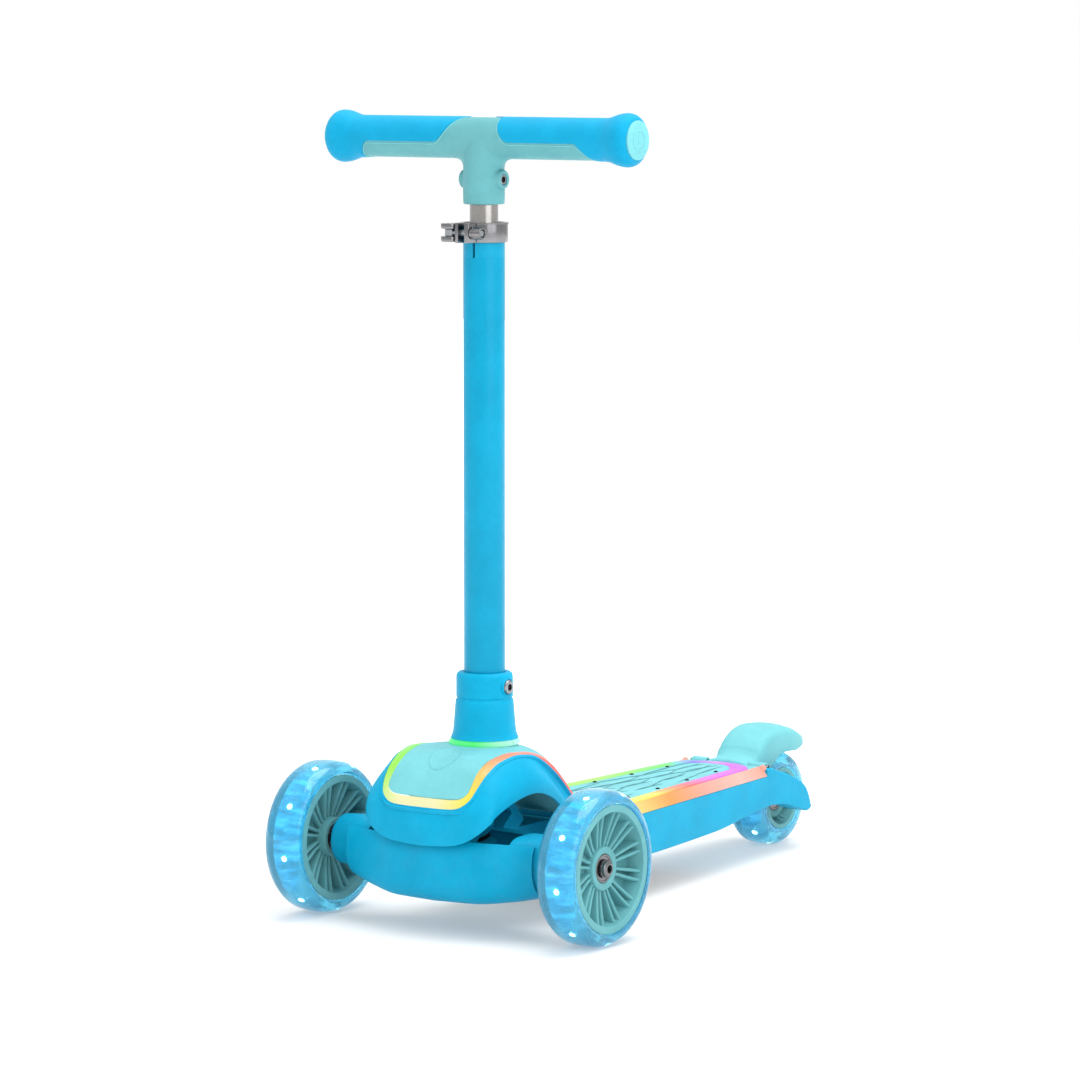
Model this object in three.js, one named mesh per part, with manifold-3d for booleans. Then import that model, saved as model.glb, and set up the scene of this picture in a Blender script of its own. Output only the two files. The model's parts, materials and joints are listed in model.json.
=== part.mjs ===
// A child's three-wheel kick scooter: lean-to-steer front truck, height-adjustable T-bar and lit deck.
// Millimetres, +Z up, the rider looks along -Y, and the rider's left is +X.
// Pieces are placed from the point on the ground below the front axle; the outer group then moves
// the whole scooter so that its origin is on the ground below the middle of its bounding box.
import * as THREE from "three";
import { mergeVertices } from "three/addons/utils/BufferGeometryUtils.js";
import Module from "manifold-3d";

const wasm = await Module();
wasm.setup();

// ---------------------------------------------------------------- driving dimensions
const GAP = 0.3; // between pieces that touch
const FRONT_R = 60; // front tyre radius
const REAR_R = 40; // rear tyre radius
const TYRE_HALF = 17; // half the width of every tyre
const WHEELBASE = 460;
const TRACK_HALF = 127.3; // from the middle of the scooter to a front wheel's middle
const TAIL_Y = 508; // the brake's rear end, the rearmost point
const STEM_Y = 38; // the stem stands upright, this far behind the front axle
const BAR_Z = 607.5; // height of the handlebar's axis
const DECK_TOP = 79; // standing surface
const DECK_BOTTOM = 35;
const DECK_START = 110; // the hood ends and the deck begins
const DECK_SIDE_AT_START = 61.4; // half width of the deck at its front
const DECK_TAPER = 0.0677; // how much the half width shrinks for each millimetre rearwards
const RING_INSET = 7; // the light ring's outer edge, inside the deck's side
const RING_WIDTH = 12;
const RING_END_Y = 390;
const KINGPIN_TILT = THREE.MathUtils.degToRad(40); // from upright, its top towards the front
const KINGPIN_AT = new THREE.Vector3(0, 22, 84);
const CLAMP_TURN = THREE.MathUtils.degToRad(-5); // the clamp's slit, turned from straight ahead
const TUBE_SLOT_TURN = THREE.MathUtils.degToRad(5); // and the slot in the tube that it squeezes
const HINGE_Y = 400; // brake hinge
const HINGE_Z = 75;
const ROUND = 20; // facets round a turned piece
const SMALL_ROUND = 12; // and round a bolt or a bearing
const TYRE_ROUND = 28;

// ---------------------------------------------------------------- materials
function finish(color, roughness, metalness = 0) {
  return new THREE.MeshStandardMaterial({ color, roughness, metalness });
}
const BLUE = finish(0x12c3ee, 0.42);
const MINT = finish(0x9af0f0, 0.45);
const RUBBER_BLUE = finish(0x1fb4ea, 0.7);
const CLEAR_BLUE = finish(0x35c8ff, 0.25);
const GLOW = finish(0xb8f070, 0.35);
const GLOW_GREEN = finish(0x55ff99, 0.35);
const CHROME = finish(0xc8c8c8, 0.2, 1);
const STEEL = finish(0x9a9fa3, 0.35, 1);
const DARK = finish(0x2b3034, 0.6);
const WHITE = finish(0xeef6f8, 0.5);
const BOARD = finish(0x1f7a46, 0.5);
const CREAM = finish(0xe8dcc0, 0.55);

// ---------------------------------------------------------------- shape tools
// A closed geometry as a solid that can be joined and cut; one that is inside out is turned round.
function solid(geometry) {
  const loose = geometry.index ? geometry.toNonIndexed() : geometry;
  const bare = new THREE.BufferGeometry();
  bare.setAttribute("position", loose.getAttribute("position"));
  const merged = mergeVertices(bare, 1e-3);
  const corners = merged.index.array;
  const make = (flip) => {
    const triangles = [];
    for (let i = 0; i < corners.length; i += 3) {
      const [a, b, c] = [corners[i], corners[i + 1], corners[i + 2]];
      if (a !== b && b !== c && c !== a) {
        triangles.push(...(flip ? [a, c, b] : [a, b, c]));
      }
    }
    return new wasm.Manifold(
      new wasm.Mesh({
        numProp: 3,
        vertProperties: merged.attributes.position.array,
        triVerts: new Uint32Array(triangles),
      }),
    );
  };
  const made = make(false);
  return made.volume() < 0 ? make(true) : made;
}

function geometryOf(manifold) {
  const mesh = manifold.getMesh();
  const position = new Float32Array(mesh.numVert * 3);
  for (let i = 0; i < mesh.numVert; i++) {
    position.set(mesh.vertProperties.subarray(i * mesh.numProp, i * mesh.numProp + 3), i * 3);
  }
  const geometry = new THREE.BufferGeometry();
  geometry.setAttribute("position", new THREE.BufferAttribute(position, 3));
  geometry.setIndex(new THREE.BufferAttribute(mesh.triVerts, 1));
  return geometry.toNonIndexed();
}

const join = (first, ...rest) =>
  geometryOf(rest.reduce((whole, piece) => whole.add(solid(piece)), solid(first)));
const cut = (first, ...tools) =>
  geometryOf(tools.reduce((whole, tool) => whole.subtract(solid(tool)), solid(first)));
const common = (first, ...rest) =>
  geometryOf(rest.reduce((whole, piece) => whole.intersect(solid(piece)), solid(first)));

// A closed profile of [radius, height] points turned about Z.
function turned(profile, segments = ROUND) {
  const points = profile.map(([r, z]) => new THREE.Vector2(r, z));
  const last = profile.at(-1);
  const onAxis = profile[0][0] === 0 && last[0] === 0;
  if (!onAxis) points.push(points[0].clone());
  const lathe = new THREE.LatheGeometry(points, segments).rotateX(Math.PI / 2);
  return geometryOf(solid(lathe));
}
const rod = (radius, from, to, segments = ROUND) =>
  turned([[0, from], [radius, from], [radius, to], [0, to]], segments);
const sleeve = (outer, inner, from, to, segments = ROUND) =>
  turned([[inner, from], [outer, from], [outer, to], [inner, to]], segments);

// An outline of [a, b] points given depth: upright walls (x, y), a side view (y, z) or a front view (x, z).
function extruded(outline, depth) {
  const shape = new THREE.Shape(outline.map(([a, b]) => new THREE.Vector2(a, b)));
  return new THREE.ExtrudeGeometry(shape, { depth, bevelEnabled: false });
}
const planPrism = (outline, z0, z1) => extruded(outline, z1 - z0).translate(0, 0, z0);
const sidePrism = (outline, x0, x1) =>
  extruded(outline, x1 - x0)
    .applyMatrix4(new THREE.Matrix4().set(0, 0, 1, 0, 1, 0, 0, 0, 0, 1, 0, 0, 0, 0, 0, 1))
    .translate(x0, 0, 0);
const frontPrism = (outline, y0, y1) =>
  extruded(outline, y1 - y0).rotateX(Math.PI / 2).translate(0, y1, 0);
const box = (x0, x1, y0, y1, z0, z1) =>
  new THREE.BoxGeometry(x1 - x0, y1 - y0, z1 - z0).translate(
    (x0 + x1) / 2, (y0 + y1) / 2, (z0 + z1) / 2,
  );
const alongX = (geometry) => geometry.clone().rotateY(Math.PI / 2);
// The points of one half, then the same points on the other side of the middle, where x is 0.
const mirroredX = (outline) => [
  ...outline,
  ...outline.filter(([x]) => x !== 0).reverse().map(([x, b]) => [-x, b]),
];
// A round or oval outline.
const oval = (x, y, halfX, halfY, points = 16) =>
  Array.from({ length: points }, (_, i) => {
    const t = (2 * Math.PI * i) / points;
    return [x + halfX * Math.cos(t), y + halfY * Math.sin(t)];
  });

// A solid through closed sections with equal numbers of points, its first and last section capped.
// flat() gives a section point its two coordinates in the cap's plane.
function loft(sections, flat) {
  const count = sections[0].length;
  const position = [];
  const put = (...points) => points.forEach((p) => position.push(p.x, p.y, p.z));
  for (let s = 0; s + 1 < sections.length; s++) {
    for (let i = 0; i < count; i++) {
      const j = (i + 1) % count;
      const [a, b] = [sections[s], sections[s + 1]];
      put(a[i], a[j], b[i]);
      put(a[j], b[j], b[i]);
    }
  }
  // The first cap runs against its section's order and the last cap with it, which closes the walls.
  for (const [section, withOrder] of [[sections[0], false], [sections.at(-1), true]]) {
    const ring = section.map(flat);
    const turned = THREE.ShapeUtils.isClockWise(ring) === withOrder;
    for (const [a, b, c] of THREE.ShapeUtils.triangulateShape(ring, [])) {
      const corners = [section[a], section[b], section[c]];
      put(...(turned ? corners.reverse() : corners));
    }
  }
  const geometry = new THREE.BufferGeometry();
  geometry.setAttribute("position", new THREE.Float32BufferAttribute(position, 3));
  return geometryOf(solid(geometry));
}

// A straight-line table: value(y) between the rows [y, a, b, ...] for one column.
function between(rows, y, column) {
  const next = Math.max(1, rows.findIndex((row) => row[0] >= y));
  const [low, high] = y >= rows.at(-1)[0] ? rows.slice(-2) : [rows[next - 1], rows[next]];
  return THREE.MathUtils.mapLinear(y, low[0], high[0], low[column], high[column]);
}

const outer = new THREE.Group();
const scooter = new THREE.Group();
scooter.position.y = -(TAIL_Y - FRONT_R) / 2;
outer.add(scooter);

function part(name, geometry, material, parent = scooter) {
  const mesh = new THREE.Mesh(geometry, material);
  mesh.name = name;
  parent.add(mesh);
  return mesh;
}
function frameAt(x, y, z, parent = scooter) {
  const group = new THREE.Group();
  group.position.set(x, y, z);
  parent.add(group);
  return group;
}

// ---------------------------------------------------------------- wheels
// A wheel about its own Z, its outer face at +Z: moulded hub, light core, soft tyre, two bearings.
const BEARING_R = 11;
const BEARING_BORE = 4.2;
const BEARING_IN = 1.6; // bearings lie between these distances from the wheel's middle
const BEARING_OUT = 8.6;
const AXLE_R = 3.9;
const FACE = 16; // rim face from the wheel's middle
const LIP = 1.7; // thickness of the rim's lips, which hold the tyre
const WEB = 2; // half the thickness of the plate between boss and rim
const BOSS_HALF = 12;
const CORE_HALF = 10; // half the width of the ring of lights
const CORE_DEPTH = 4.7;
const HUB_ROUND = 20;

function hubBody(bossR, flangeR, rimR) {
  const seat = BEARING_R + 0.15;
  return turned([
    [seat, -BOSS_HALF], [bossR, -BOSS_HALF], [bossR, -WEB], [rimR - 3, -WEB], [rimR - 1, -FACE],
    [flangeR, -FACE], [flangeR, LIP - FACE], [rimR, LIP - FACE], [rimR, FACE - LIP],
    [flangeR, FACE - LIP], [flangeR, FACE], [rimR - 1, FACE], [rimR - 3, WEB],
    [bossR, WEB], [bossR, BOSS_HALF], [seat, BOSS_HALF],
  ], HUB_ROUND);
}

function tyreBody(tyreR, flangeR, bed, coreTop) {
  const room = CORE_HALF + GAP;
  const bedHalf = FACE - LIP - GAP;
  const edge = flangeR + 2 * GAP;
  const shoulder = (edge + tyreR) / 2 - 2;
  const inside = [
    [bed, bedHalf], [bed, room], [coreTop, room], [coreTop, -room], [bed, -room], [bed, -bedHalf],
  ];
  const outside = [[edge, -bedHalf], [shoulder, -TYRE_HALF], [tyreR - 2.5, -15], [tyreR, -8]];
  const mirrored = outside.toReversed().map(([r, z]) => [r, -z]);
  return turned([...inside, ...outside, ...mirrored], TYRE_ROUND);
}

function wheel(side, group, tyreR, flangeR, rimR, spokes) {
  const bossR = BEARING_R + 4.5;
  const ribs = Array.from({ length: spokes }, (_, i) =>
    box(bossR - 1, rimR - 2.2, -2.2, 2.2, WEB - 1, 10).rotateZ((i * 2 * Math.PI) / spokes));
  part(`${side}_hub`, join(hubBody(bossR, flangeR, rimR), ...ribs), MINT, group);

  const bed = rimR + 2 * GAP;
  const core = sleeve(bed + CORE_DEPTH, bed, -CORE_HALF, CORE_HALF, HUB_ROUND);
  part(`${side}_light_core`, core, WHITE, group);
  part(`${side}_tyre`, tyreBody(tyreR, flangeR, bed, bed + CORE_DEPTH + 2 * GAP), CLEAR_BLUE, group);

  const ring = (from, to) => sleeve(BEARING_R, BEARING_BORE, from, to, SMALL_ROUND);
  part(`${side}_bearing_outer`, ring(BEARING_IN, BEARING_OUT), CHROME, group);
  part(`${side}_bearing_inner`, ring(-BEARING_OUT, -BEARING_IN), CHROME, group);
}

// ---------------------------------------------------------------- kingpin frame
const kingpin = frameAt(...KINGPIN_AT.toArray());
kingpin.rotation.x = KINGPIN_TILT;
kingpin.updateMatrix();
const tilted = (geometry) => geometry.clone().applyMatrix4(kingpin.matrix);
const BARREL_HALF = 12;
const BARREL_R = 13;
const PAD_LENGTH = 5; // elastomer ring at each end of the barrel
const PLATE_IN = BARREL_HALF + PAD_LENGTH + 3 * GAP;
const PLATE_OUT = PLATE_IN + 5;

// ---------------------------------------------------------------- truck: the front axle carrier
const ARM_END = 107.5; // half the truck's width
const ARM_BORE_END = 87;

// The truck's section at x is a rounded box, which turns into a round boss at the wheel.
const TRUCK_ROWS = [
  // x, middle y, middle z, half depth, half height, squareness
  [0, -5, 54, 37, 26, 5],
  [34, -5, 54, 34, 25.5, 5],
  [62, -3, 55.5, 27, 24, 4],
  [84, -1, 58, 22, 22, 3],
  [98, 0, 60, 20, 20, 2],
  [ARM_END, 0, 60, 19.5, 19.5, 2],
];
const TRUCK_XS = TRUCK_ROWS.map((row) => row[0]);
const TRUCK_WALL = 3.5;
const TRUCK_FLOOR = 8;
const TRAY_END = ARM_BORE_END - 3; // the hollow stops before the axle bolt's bore

// The truck's section at x, a superellipse, with its sides moved in and its floor raised.
function truckSection(x, wall, floor) {
  const [y, z, halfY, halfZ, square] = [1, 2, 3, 4, 5].map((c) => between(TRUCK_ROWS, Math.abs(x), c));
  const bent = (v) => Math.sign(v) * Math.abs(v) ** (2 / square);
  return Array.from({ length: 12 }, (_, i) => {
    const t = (i * Math.PI) / 6;
    const depth = (halfY - wall) * bent(Math.cos(t));
    const height = (halfZ - wall + floor) * bent(Math.sin(t));
    return new THREE.Vector3(x, y + depth, z + floor + height);
  });
}
function truckLoft(halfXs, wall, floor) {
  const xs = [...halfXs.toReversed().map((x) => -x), ...halfXs.slice(1)];
  return loft(xs.map((x) => truckSection(x, wall, floor)), (p) => new THREE.Vector2(p.y, p.z));
}

function truckBody() {
  const block = truckLoft(TRUCK_XS, 0, 0);
  const tray = truckLoft([...TRUCK_XS.filter((x) => x < 80), TRAY_END], TRUCK_WALL, TRUCK_FLOOR);
  const openTop = box(-TRAY_END, TRAY_END, -18, 14, 66, 90);
  const rearDip = box(-36, 36, 10, 60, 44, 90);
  const sump = common(box(-9, 9, -38, 20, 31, 36), block);
  const neck = tilted(box(-8, 8, -66, -8, 0.5 - BARREL_HALF, BARREL_HALF - 0.5));
  const bulkhead = common(neck, box(-9, 9, -38.6, 60, 30, 120));
  const ribs = [-72, -52, 52, 72].map((x) => common(box(x - 1.5, x + 1.5, -60, 60, 30, 60), block));
  const barrel = tilted(rod(BARREL_R, -BARREL_HALF, BARREL_HALF));
  const whole = join(cut(block, tray, openTop, rearDip), sump, bulkhead, barrel, ...ribs);
  const axleBore = alongX(rod(BEARING_BORE, ARM_BORE_END, 130)).translate(0, 0, FRONT_R);
  return cut(whole, tilted(rod(8.3, -40, 40)), axleBore, axleBore.clone().rotateZ(Math.PI));
}
part("truck", truckBody(), BLUE);
part("kingpin_bush", sleeve(8, 4.4, -BARREL_HALF, BARREL_HALF, SMALL_ROUND), CREAM, kingpin);

for (const [side, way] of [["left", 1], ["right", -1]]) {
  const group = frameAt(way * TRACK_HALF, 0, FRONT_R);
  group.rotation.y = (way * Math.PI) / 2;
  wheel(`front_${side}`, group, FRONT_R, 49.35, 45, 12);
  const bossFace = ARM_END - TRACK_HALF + GAP;
  const tip = ARM_BORE_END - TRACK_HALF + 1;
  part(`axle_bolt_${side}`, turned([
    [0, tip], [AXLE_R, tip], [AXLE_R, bossFace], [5.8, bossFace], [5.8, -BEARING_OUT - GAP],
    [AXLE_R, -BEARING_OUT - GAP], [AXLE_R, BEARING_OUT + GAP], [7.2, BEARING_OUT + GAP],
    [7.2, 10.4], [6.4, 10.4], [6.2, 12.6], [4.6, 13.5], [0, 13.5],
  ], SMALL_ROUND), CHROME, group);
}

// ---------------------------------------------------------------- steering bracket on the deck
const CUP_R = 19.2;
const TUBE_R = 16.04;
const TUBE_FOOT = 112;

function steeringBracket() {
  const plate = (from, to) => tilted(box(-17, 17, -13, 30, from, to));
  const web = tilted(box(-17, 17, 22, 30, -PLATE_OUT, PLATE_OUT));
  const arm = box(-17, 17, 42, DECK_START - GAP, 55, 72);
  const gusset = tilted(box(-17, 17, 7.5, 30, -34, -PLATE_IN - 1));
  const cup = rod(CUP_R, 98, 142).translate(0, STEM_Y, 0);
  const pocket = rod(TUBE_R + GAP, TUBE_FOOT - GAP, 150).translate(0, STEM_Y, 0);
  const whole = join(web, plate(PLATE_IN, PLATE_OUT), plate(-PLATE_OUT, -PLATE_IN), arm, gusset, cup);
  const above = box(-25, 25, -40, 90, 119, 160);
  const plateTop = cut(above, rod(CUP_R + 0.1, 90, 170).translate(0, STEM_Y, 0));
  const yoke = tilted(box(-25, 25, -25, 22, -PLATE_IN, PLATE_IN));
  const headRoom = tilted(rod(7.2, -45, -PLATE_OUT));
  return cut(whole, plateTop, pocket, yoke, headRoom, tilted(rod(4.3, -40, 40, SMALL_ROUND)));
}
part("steering_bracket", steeringBracket(), STEEL);
part("kingpin", turned([
  [0, -PLATE_OUT - 6.5], [6.5, -PLATE_OUT - 6.5], [6.5, -PLATE_OUT - GAP],
  [4, -PLATE_OUT - GAP], [4, PLATE_OUT + GAP], [6.5, PLATE_OUT + GAP],
  [6.5, PLATE_OUT + 6], [0, PLATE_OUT + 6],
], SMALL_ROUND), STEEL, kingpin);
for (const [name, way] of [["upper", 1], ["lower", -1]]) {
  const [near, far] = [way * (BARREL_HALF + GAP), way * (BARREL_HALF + GAP + PAD_LENGTH)];
  const pad = sleeve(11, 4.5, Math.min(near, far), Math.max(near, far), SMALL_ROUND);
  part(`elastomer_${name}`, pad, DARK, kingpin);
}

// ---------------------------------------------------------------- hood over the truck
const HOOD_ROWS = [
  // y, half width low down, half width and height of the light ring's outer edge, crest height
  [-51.5, 18, 9, 76, 77],
  [-50.5, 34, 22, 85, 86],
  [-48, 44, 31, 93.5, 95],
  [-45, 50, 36, 101, 103],
  [-41, 55, 40.5, 108.6, 110.5],
  [-34, 59, 43.8, 118.5, 121],
  [-24, 61, 45.5, 127.5, 130.5],
  [-10, 63, 47, 134.6, 136.8],
  [10, 65, 49, 137.8, 139.5],
  [28, 66, 50.5, 136, 139.5],
  [42, 66, 52, 131.5, 139.5],
  [56, 66, 53, 123, 139],
  [68, 66, 54, 112, 128],
  [80, 66, 55, 99, 109],
  [92, 65, 55.5, 88, 93],
  [102, 63, 55, 81.5, 83],
  [DECK_START, DECK_SIDE_AT_START, DECK_SIDE_AT_START - RING_INSET, DECK_TOP, DECK_TOP + 0.5],
];
const HOOD_FOOT = 72; // lowest edge of the hood's nose
const WALL_FOOT = 20; // the sides run down to here before the arches and the deck cut them
const hoodRow = (y) => [1, 2, 3, 4].map((column) => between(HOOD_ROWS, y, column));

// Half of the hood's front view at y: the crest, the light ring's edge, then the side wall.
function hoodHalf(y, foot) {
  const [low, ring, edge, crest] = hoodRow(Math.min(y, DECK_START));
  const rise = crest - edge;
  const bulge = low - ring;
  return [
    [0, crest], [ring * 0.45, edge + rise * 0.78], [ring * 0.8, edge + rise * 0.3], [ring, edge],
    [ring + bulge * 0.45, edge - 7], [ring + bulge * 0.8, edge - 17], [low, edge - 30], [low, foot],
  ];
}
const LAST = 7; // the place of the foot in that list

// The hood as one solid, all its faces moved in by inset.
function hoodSolid(inset, foot = WALL_FOOT) {
  const front = HOOD_ROWS[0][0] + Math.max(0, inset);
  const ys = [front, ...HOOD_ROWS.map((row) => row[0]).filter((y) => y > front + 1)];
  if (inset > LAYER + 1) ys.push(DECK_START + 2); // the inside is open towards the deck
  const sections = ys.map((y) => {
    const moved = hoodHalf(y, foot).map(([x, z], i) => {
      const sideways = inset * (i > 3 ? 1 : 0.7);
      const lowest = foot + 1 + LAST - i;
      return [x === 0 ? 0 : Math.max(2, x - sideways), Math.max(lowest, i === LAST ? z : z - inset)];
    });
    return mirroredX(moved).map(([x, z]) => new THREE.Vector3(x, y, z));
  });
  return loft(sections, (p) => new THREE.Vector2(p.x, p.z));
}

// Plan of the light ring on the hood: its outer edge moved in by inset, its rear end let out past the hood.
function hoodRingPlan(inset, past = 0) {
  const corner = [[0, -41.5], [30, -41.2], [36, -40], [40, -37], [43, -32], [44.5, -26]];
  const front = corner.map(([x, y]) => [x && x - inset, y + inset * (x > 39 ? 0.6 : 1)]);
  const sides = HOOD_ROWS.filter((row) => row[0] > -20).map((row) => [row[2] - inset, row[0]]);
  sides.at(-1)[1] += past;
  return mirroredX([...front, ...sides]);
}
const LAYER = 2.6; // thickness of the panel and of the light ring
const HOOD_WALL = 5.9;
const RING_ON_HOOD = 9; // width of the light ring there
const ARCH = [
  // y, z of the openings that the front arms pass through
  [-44, 10], [-43, 84], [-39, 92], [-34, 96.5], [-21, 102.3], [-7, 106.8], [4, 109.2], [12, 109.6],
  [20, 108.5], [33, 104], [44, 97], [56, 86], [66, 72], [74, 55], [80, 34], [81, 10],
];
const UNDER_NOSE = mirroredX([
  [0, 5], [80, 5], [80, 97], [61, 94], [57, 89.6], [50, 83], [40, 77], [30, 73.6], [0, HOOD_FOOT],
]);
const BASE_RING_R = 28.2;
const BASE_RING_Z = 139.8;
const stemRod = (radius, z0, z1) => rod(radius, z0, z1, 32).translate(0, STEM_Y, 0);
const tall = (plan) => planPrism(plan, 10, 210);

const hoodWhole = hoodSolid(0);
const hoodLayer = cut(hoodWhole, hoodSolid(LAYER));
function hoodShell() {
  const recess = common(tall(hoodRingPlan(-GAP)), cut(hoodSolid(-1), hoodSolid(LAYER + GAP)));
  return cut(
    hoodWhole, recess, hoodSolid(HOOD_WALL, WALL_FOOT / 2), sidePrism(ARCH, -90, 90),
    frontPrism(UNDER_NOSE, -60, -42), box(-90, 90, -60, 130, 0, DECK_BOTTOM), stemRod(CUP_R + GAP, 90, 200),
  );
}
function hoodPanel() {
  const inRing = common(hoodLayer, tall(hoodRingPlan(RING_ON_HOOD)));
  return cut(inRing, box(-90, 90, DECK_START - GAP, 130, 50, 200), stemRod(CUP_R + GAP, 90, 200));
}
part("hood", hoodShell(), BLUE);
part("hood_panel", hoodPanel(), MINT);
part("hood_light_ring", cut(common(hoodLayer, tall(hoodRingPlan(0))),
  tall(hoodRingPlan(RING_ON_HOOD - GAP, 5))), GLOW);

const badgePlan = oval(0, -16, 11.5, 13);
part("hood_badge", common(tall(badgePlan), cut(hoodSolid(-1.3), hoodSolid(-GAP))), MINT);
part("stem_base_ring", turned([
  [CUP_R + GAP, BASE_RING_Z], [BASE_RING_R - 1, BASE_RING_Z], [BASE_RING_R, BASE_RING_Z + 1.4],
  [BASE_RING_R - 2, BASE_RING_Z + 3.8], [CUP_R + GAP, BASE_RING_Z + 4.1],
], 32).translate(0, STEM_Y, 0), GLOW_GREEN);

// ---------------------------------------------------------------- stem
const stem = frameAt(0, STEM_Y, 0);
const SCREW_Z = 184.9;
const SOCKET_TOP = 195.9;
const TUBE_TOP = 542;
const TUBE_BORE = 13.8;
const INNER_R = 10.9; // the chromed tube that slides in the stem
const INNER_FOOT = 240;
const INNER_TOP = 597;
const NECK_BOTTOM = 557;
const NECK_R = 16.15;
const BOLT_Z = 576; // the bolt that holds the handlebar on the inner tube
const crossHole = (radius, z, x0 = -30, x1 = 30, segments = SMALL_ROUND) =>
  alongX(rod(radius, x0, x1, segments)).translate(0, 0, z);

const socketCup = turned([
  [TUBE_R + GAP, BASE_RING_Z + 4.4], [26.4, BASE_RING_Z + 4.4], [24.6, 148], [23.9, 155], [22.6, 172],
  [22.1, 174.6], [21.3, 175], [21.3, 176], [21.8, 176.5], [21.8, 193], [21, 195],
  [18.4, SOCKET_TOP], [TUBE_R + GAP, SOCKET_TOP],
]);
part("stem_socket", cut(socketCup, crossHole(3.3, SCREW_Z), crossHole(6.3, SCREW_Z, 20.4)), BLUE, stem);
part("socket_screw", alongX(turned([
  [0, -21], [3, -21], [3, 20.7], [6, 20.7], [6, 22.6], [4.4, 24], [0, 24],
], SMALL_ROUND)).translate(0, 0, SCREW_Z), CHROME, stem);
part("outer_tube", cut(
  sleeve(TUBE_R, TUBE_BORE, TUBE_FOOT, TUBE_TOP),
  box(-1, 1, -30, 0, 516.4, TUBE_TOP + 1).rotateZ(TUBE_SLOT_TURN),
  crossHole(3.3, SCREW_Z),
), BLUE, stem);
part("tube_bush", sleeve(TUBE_BORE - GAP, INNER_R + 0.4, 500, TUBE_TOP - GAP), DARK, stem);
part("inner_tube", cut(sleeve(INNER_R, 9.4, INNER_FOOT, INNER_TOP), crossHole(3.1, BOLT_Z)), CHROME, stem);

// ---------------------------------------------------------------- quick-release clamp
const slit = frameAt(0, STEM_Y, 0);
slit.rotation.z = CLAMP_TURN;
const BAND_LOW = 528;
const BAND_HIGH = 543.2;
const CLAMP_Z = (BAND_LOW + BAND_HIGH) / 2;
const PIVOT = [-14.7, -22.6]; // the lever's pin, in the clamp's own plan
const EAR_IN = 3.2;
const EAR_OUT = 7.2;
const HEAD_R = EAR_OUT; // cam head of the lever
const NUT_END = 17.6;
const ear = (x0, x1) => box(x0, x1, -27.5, -15, BAND_LOW, BAND_HIGH);
const boltHole = (radius, x0, x1) =>
  alongX(rod(radius, x0, x1, SMALL_ROUND)).translate(0, PIVOT[1], CLAMP_Z);
const atPivot = (radius, half) =>
  rod(radius, CLAMP_Z - half, CLAMP_Z + half, SMALL_ROUND).translate(...PIVOT, 0);
part("clamp_band", cut(
  join(sleeve(18.2, TUBE_R + GAP, BAND_LOW, BAND_HIGH, 32), ear(EAR_IN, EAR_OUT), ear(-EAR_OUT, -EAR_IN)),
  box(-EAR_IN, EAR_IN, -40, -5, BAND_LOW - 1, BAND_HIGH + 1),
  rod(TUBE_R + GAP, BAND_LOW - 1, BAND_HIGH + 1, 32),
  boltHole(3.2, -12, 12),
), CHROME, slit);
part("clamp_bolt", join(boltHole(2.6, PIVOT[0], NUT_END - 1), atPivot(4.2, 3.1)), STEEL, slit);
part("clamp_nut", alongX(sleeve(4.7, 2.9, EAR_OUT + GAP, NUT_END, SMALL_ROUND))
  .translate(0, PIVOT[1], CLAMP_Z), CHROME, slit);

// The lever closed: a round cam head on an upright pin, and a blade that runs back round the tube.
function clampLever() {
  const head = rod(HEAD_R, CLAMP_Z - 7, CLAMP_Z + 7).translate(...PIVOT, 0);
  const outerSide = [[-21.7, -24], [-23.4, -12], [-25.2, 4], [-25, 18], [-22.7, 30], [-20.3, 36]];
  const innerSide = [[-17.7, 35], [-19.7, 29], [-21.7, 17], [-22.2, 4], [-20.4, -10], [-16.7, -17]];
  const blade = planPrism([...outerSide, ...innerSide], CLAMP_Z - 6.6, CLAMP_Z + 6.6);
  const slot = box(-40, -3, -40, -17.8, CLAMP_Z - 3.4, CLAMP_Z + 3.4);
  return cut(join(head, blade), slot, atPivot(4.7, 3.4));
}
part("clamp_lever", clampLever(), CHROME, slit);

// ---------------------------------------------------------------- handlebar
const CORE_R = 12.8;
const GRIP_R = 16.5;
const GRIP_START = 34;
const CORE_END = 134;
const GRIP_END = 139.6;
const bar = frameAt(0, STEM_Y, BAR_Z);

function handlebarBody() {
  const neck = turned([
    [0, NECK_BOTTOM], [NECK_R - 1, NECK_BOTTOM], [NECK_R, NECK_BOTTOM + 1], [NECK_R, BAR_Z], [0, BAR_Z],
  ]);
  const core = crossHole(CORE_R, BAR_Z, -CORE_END, CORE_END, ROUND);
  const cover = crossHole(GRIP_R, BAR_Z, -GRIP_START, GRIP_START, ROUND);
  const bosses = crossHole(7.25, BOLT_Z, -18, 18);
  return cut(
    join(neck, core, cover, bosses),
    rod(INNER_R + GAP, NECK_BOTTOM - 1, INNER_TOP + 0.4),
    crossHole(3, BOLT_Z),
    crossHole(4.4, BOLT_Z, 14.6),
  );
}
part("handlebar_body", handlebarBody(), MINT, stem);
part("neck_bolt", alongX(turned([
  [0, -17], [2.7, -17], [2.7, 14.9], [4.1, 14.9], [4.1, 17], [0, 17],
], SMALL_ROUND)).translate(0, 0, BOLT_Z), STEEL, stem);
for (const [side, way] of [["left", 1], ["right", -1]]) {
  const end = frameAt(0, 0, 0, bar);
  end.rotation.y = (way * Math.PI) / 2;
  part(`grip_${side}`, turned([
    [CORE_R + GAP, GRIP_START + GAP], [GRIP_R, GRIP_START + GAP], [GRIP_R, 112], [17.6, 120], [20.3, 130],
    [20.3, 133], [18.6, 137.5], [15.4, GRIP_END], [CORE_R + GAP, GRIP_END],
  ]), RUBBER_BLUE, end);
  part(`end_cap_${side}`, rod(CORE_R - GAP, CORE_END + GAP, GRIP_END + 2), MINT, end);
}

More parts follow.
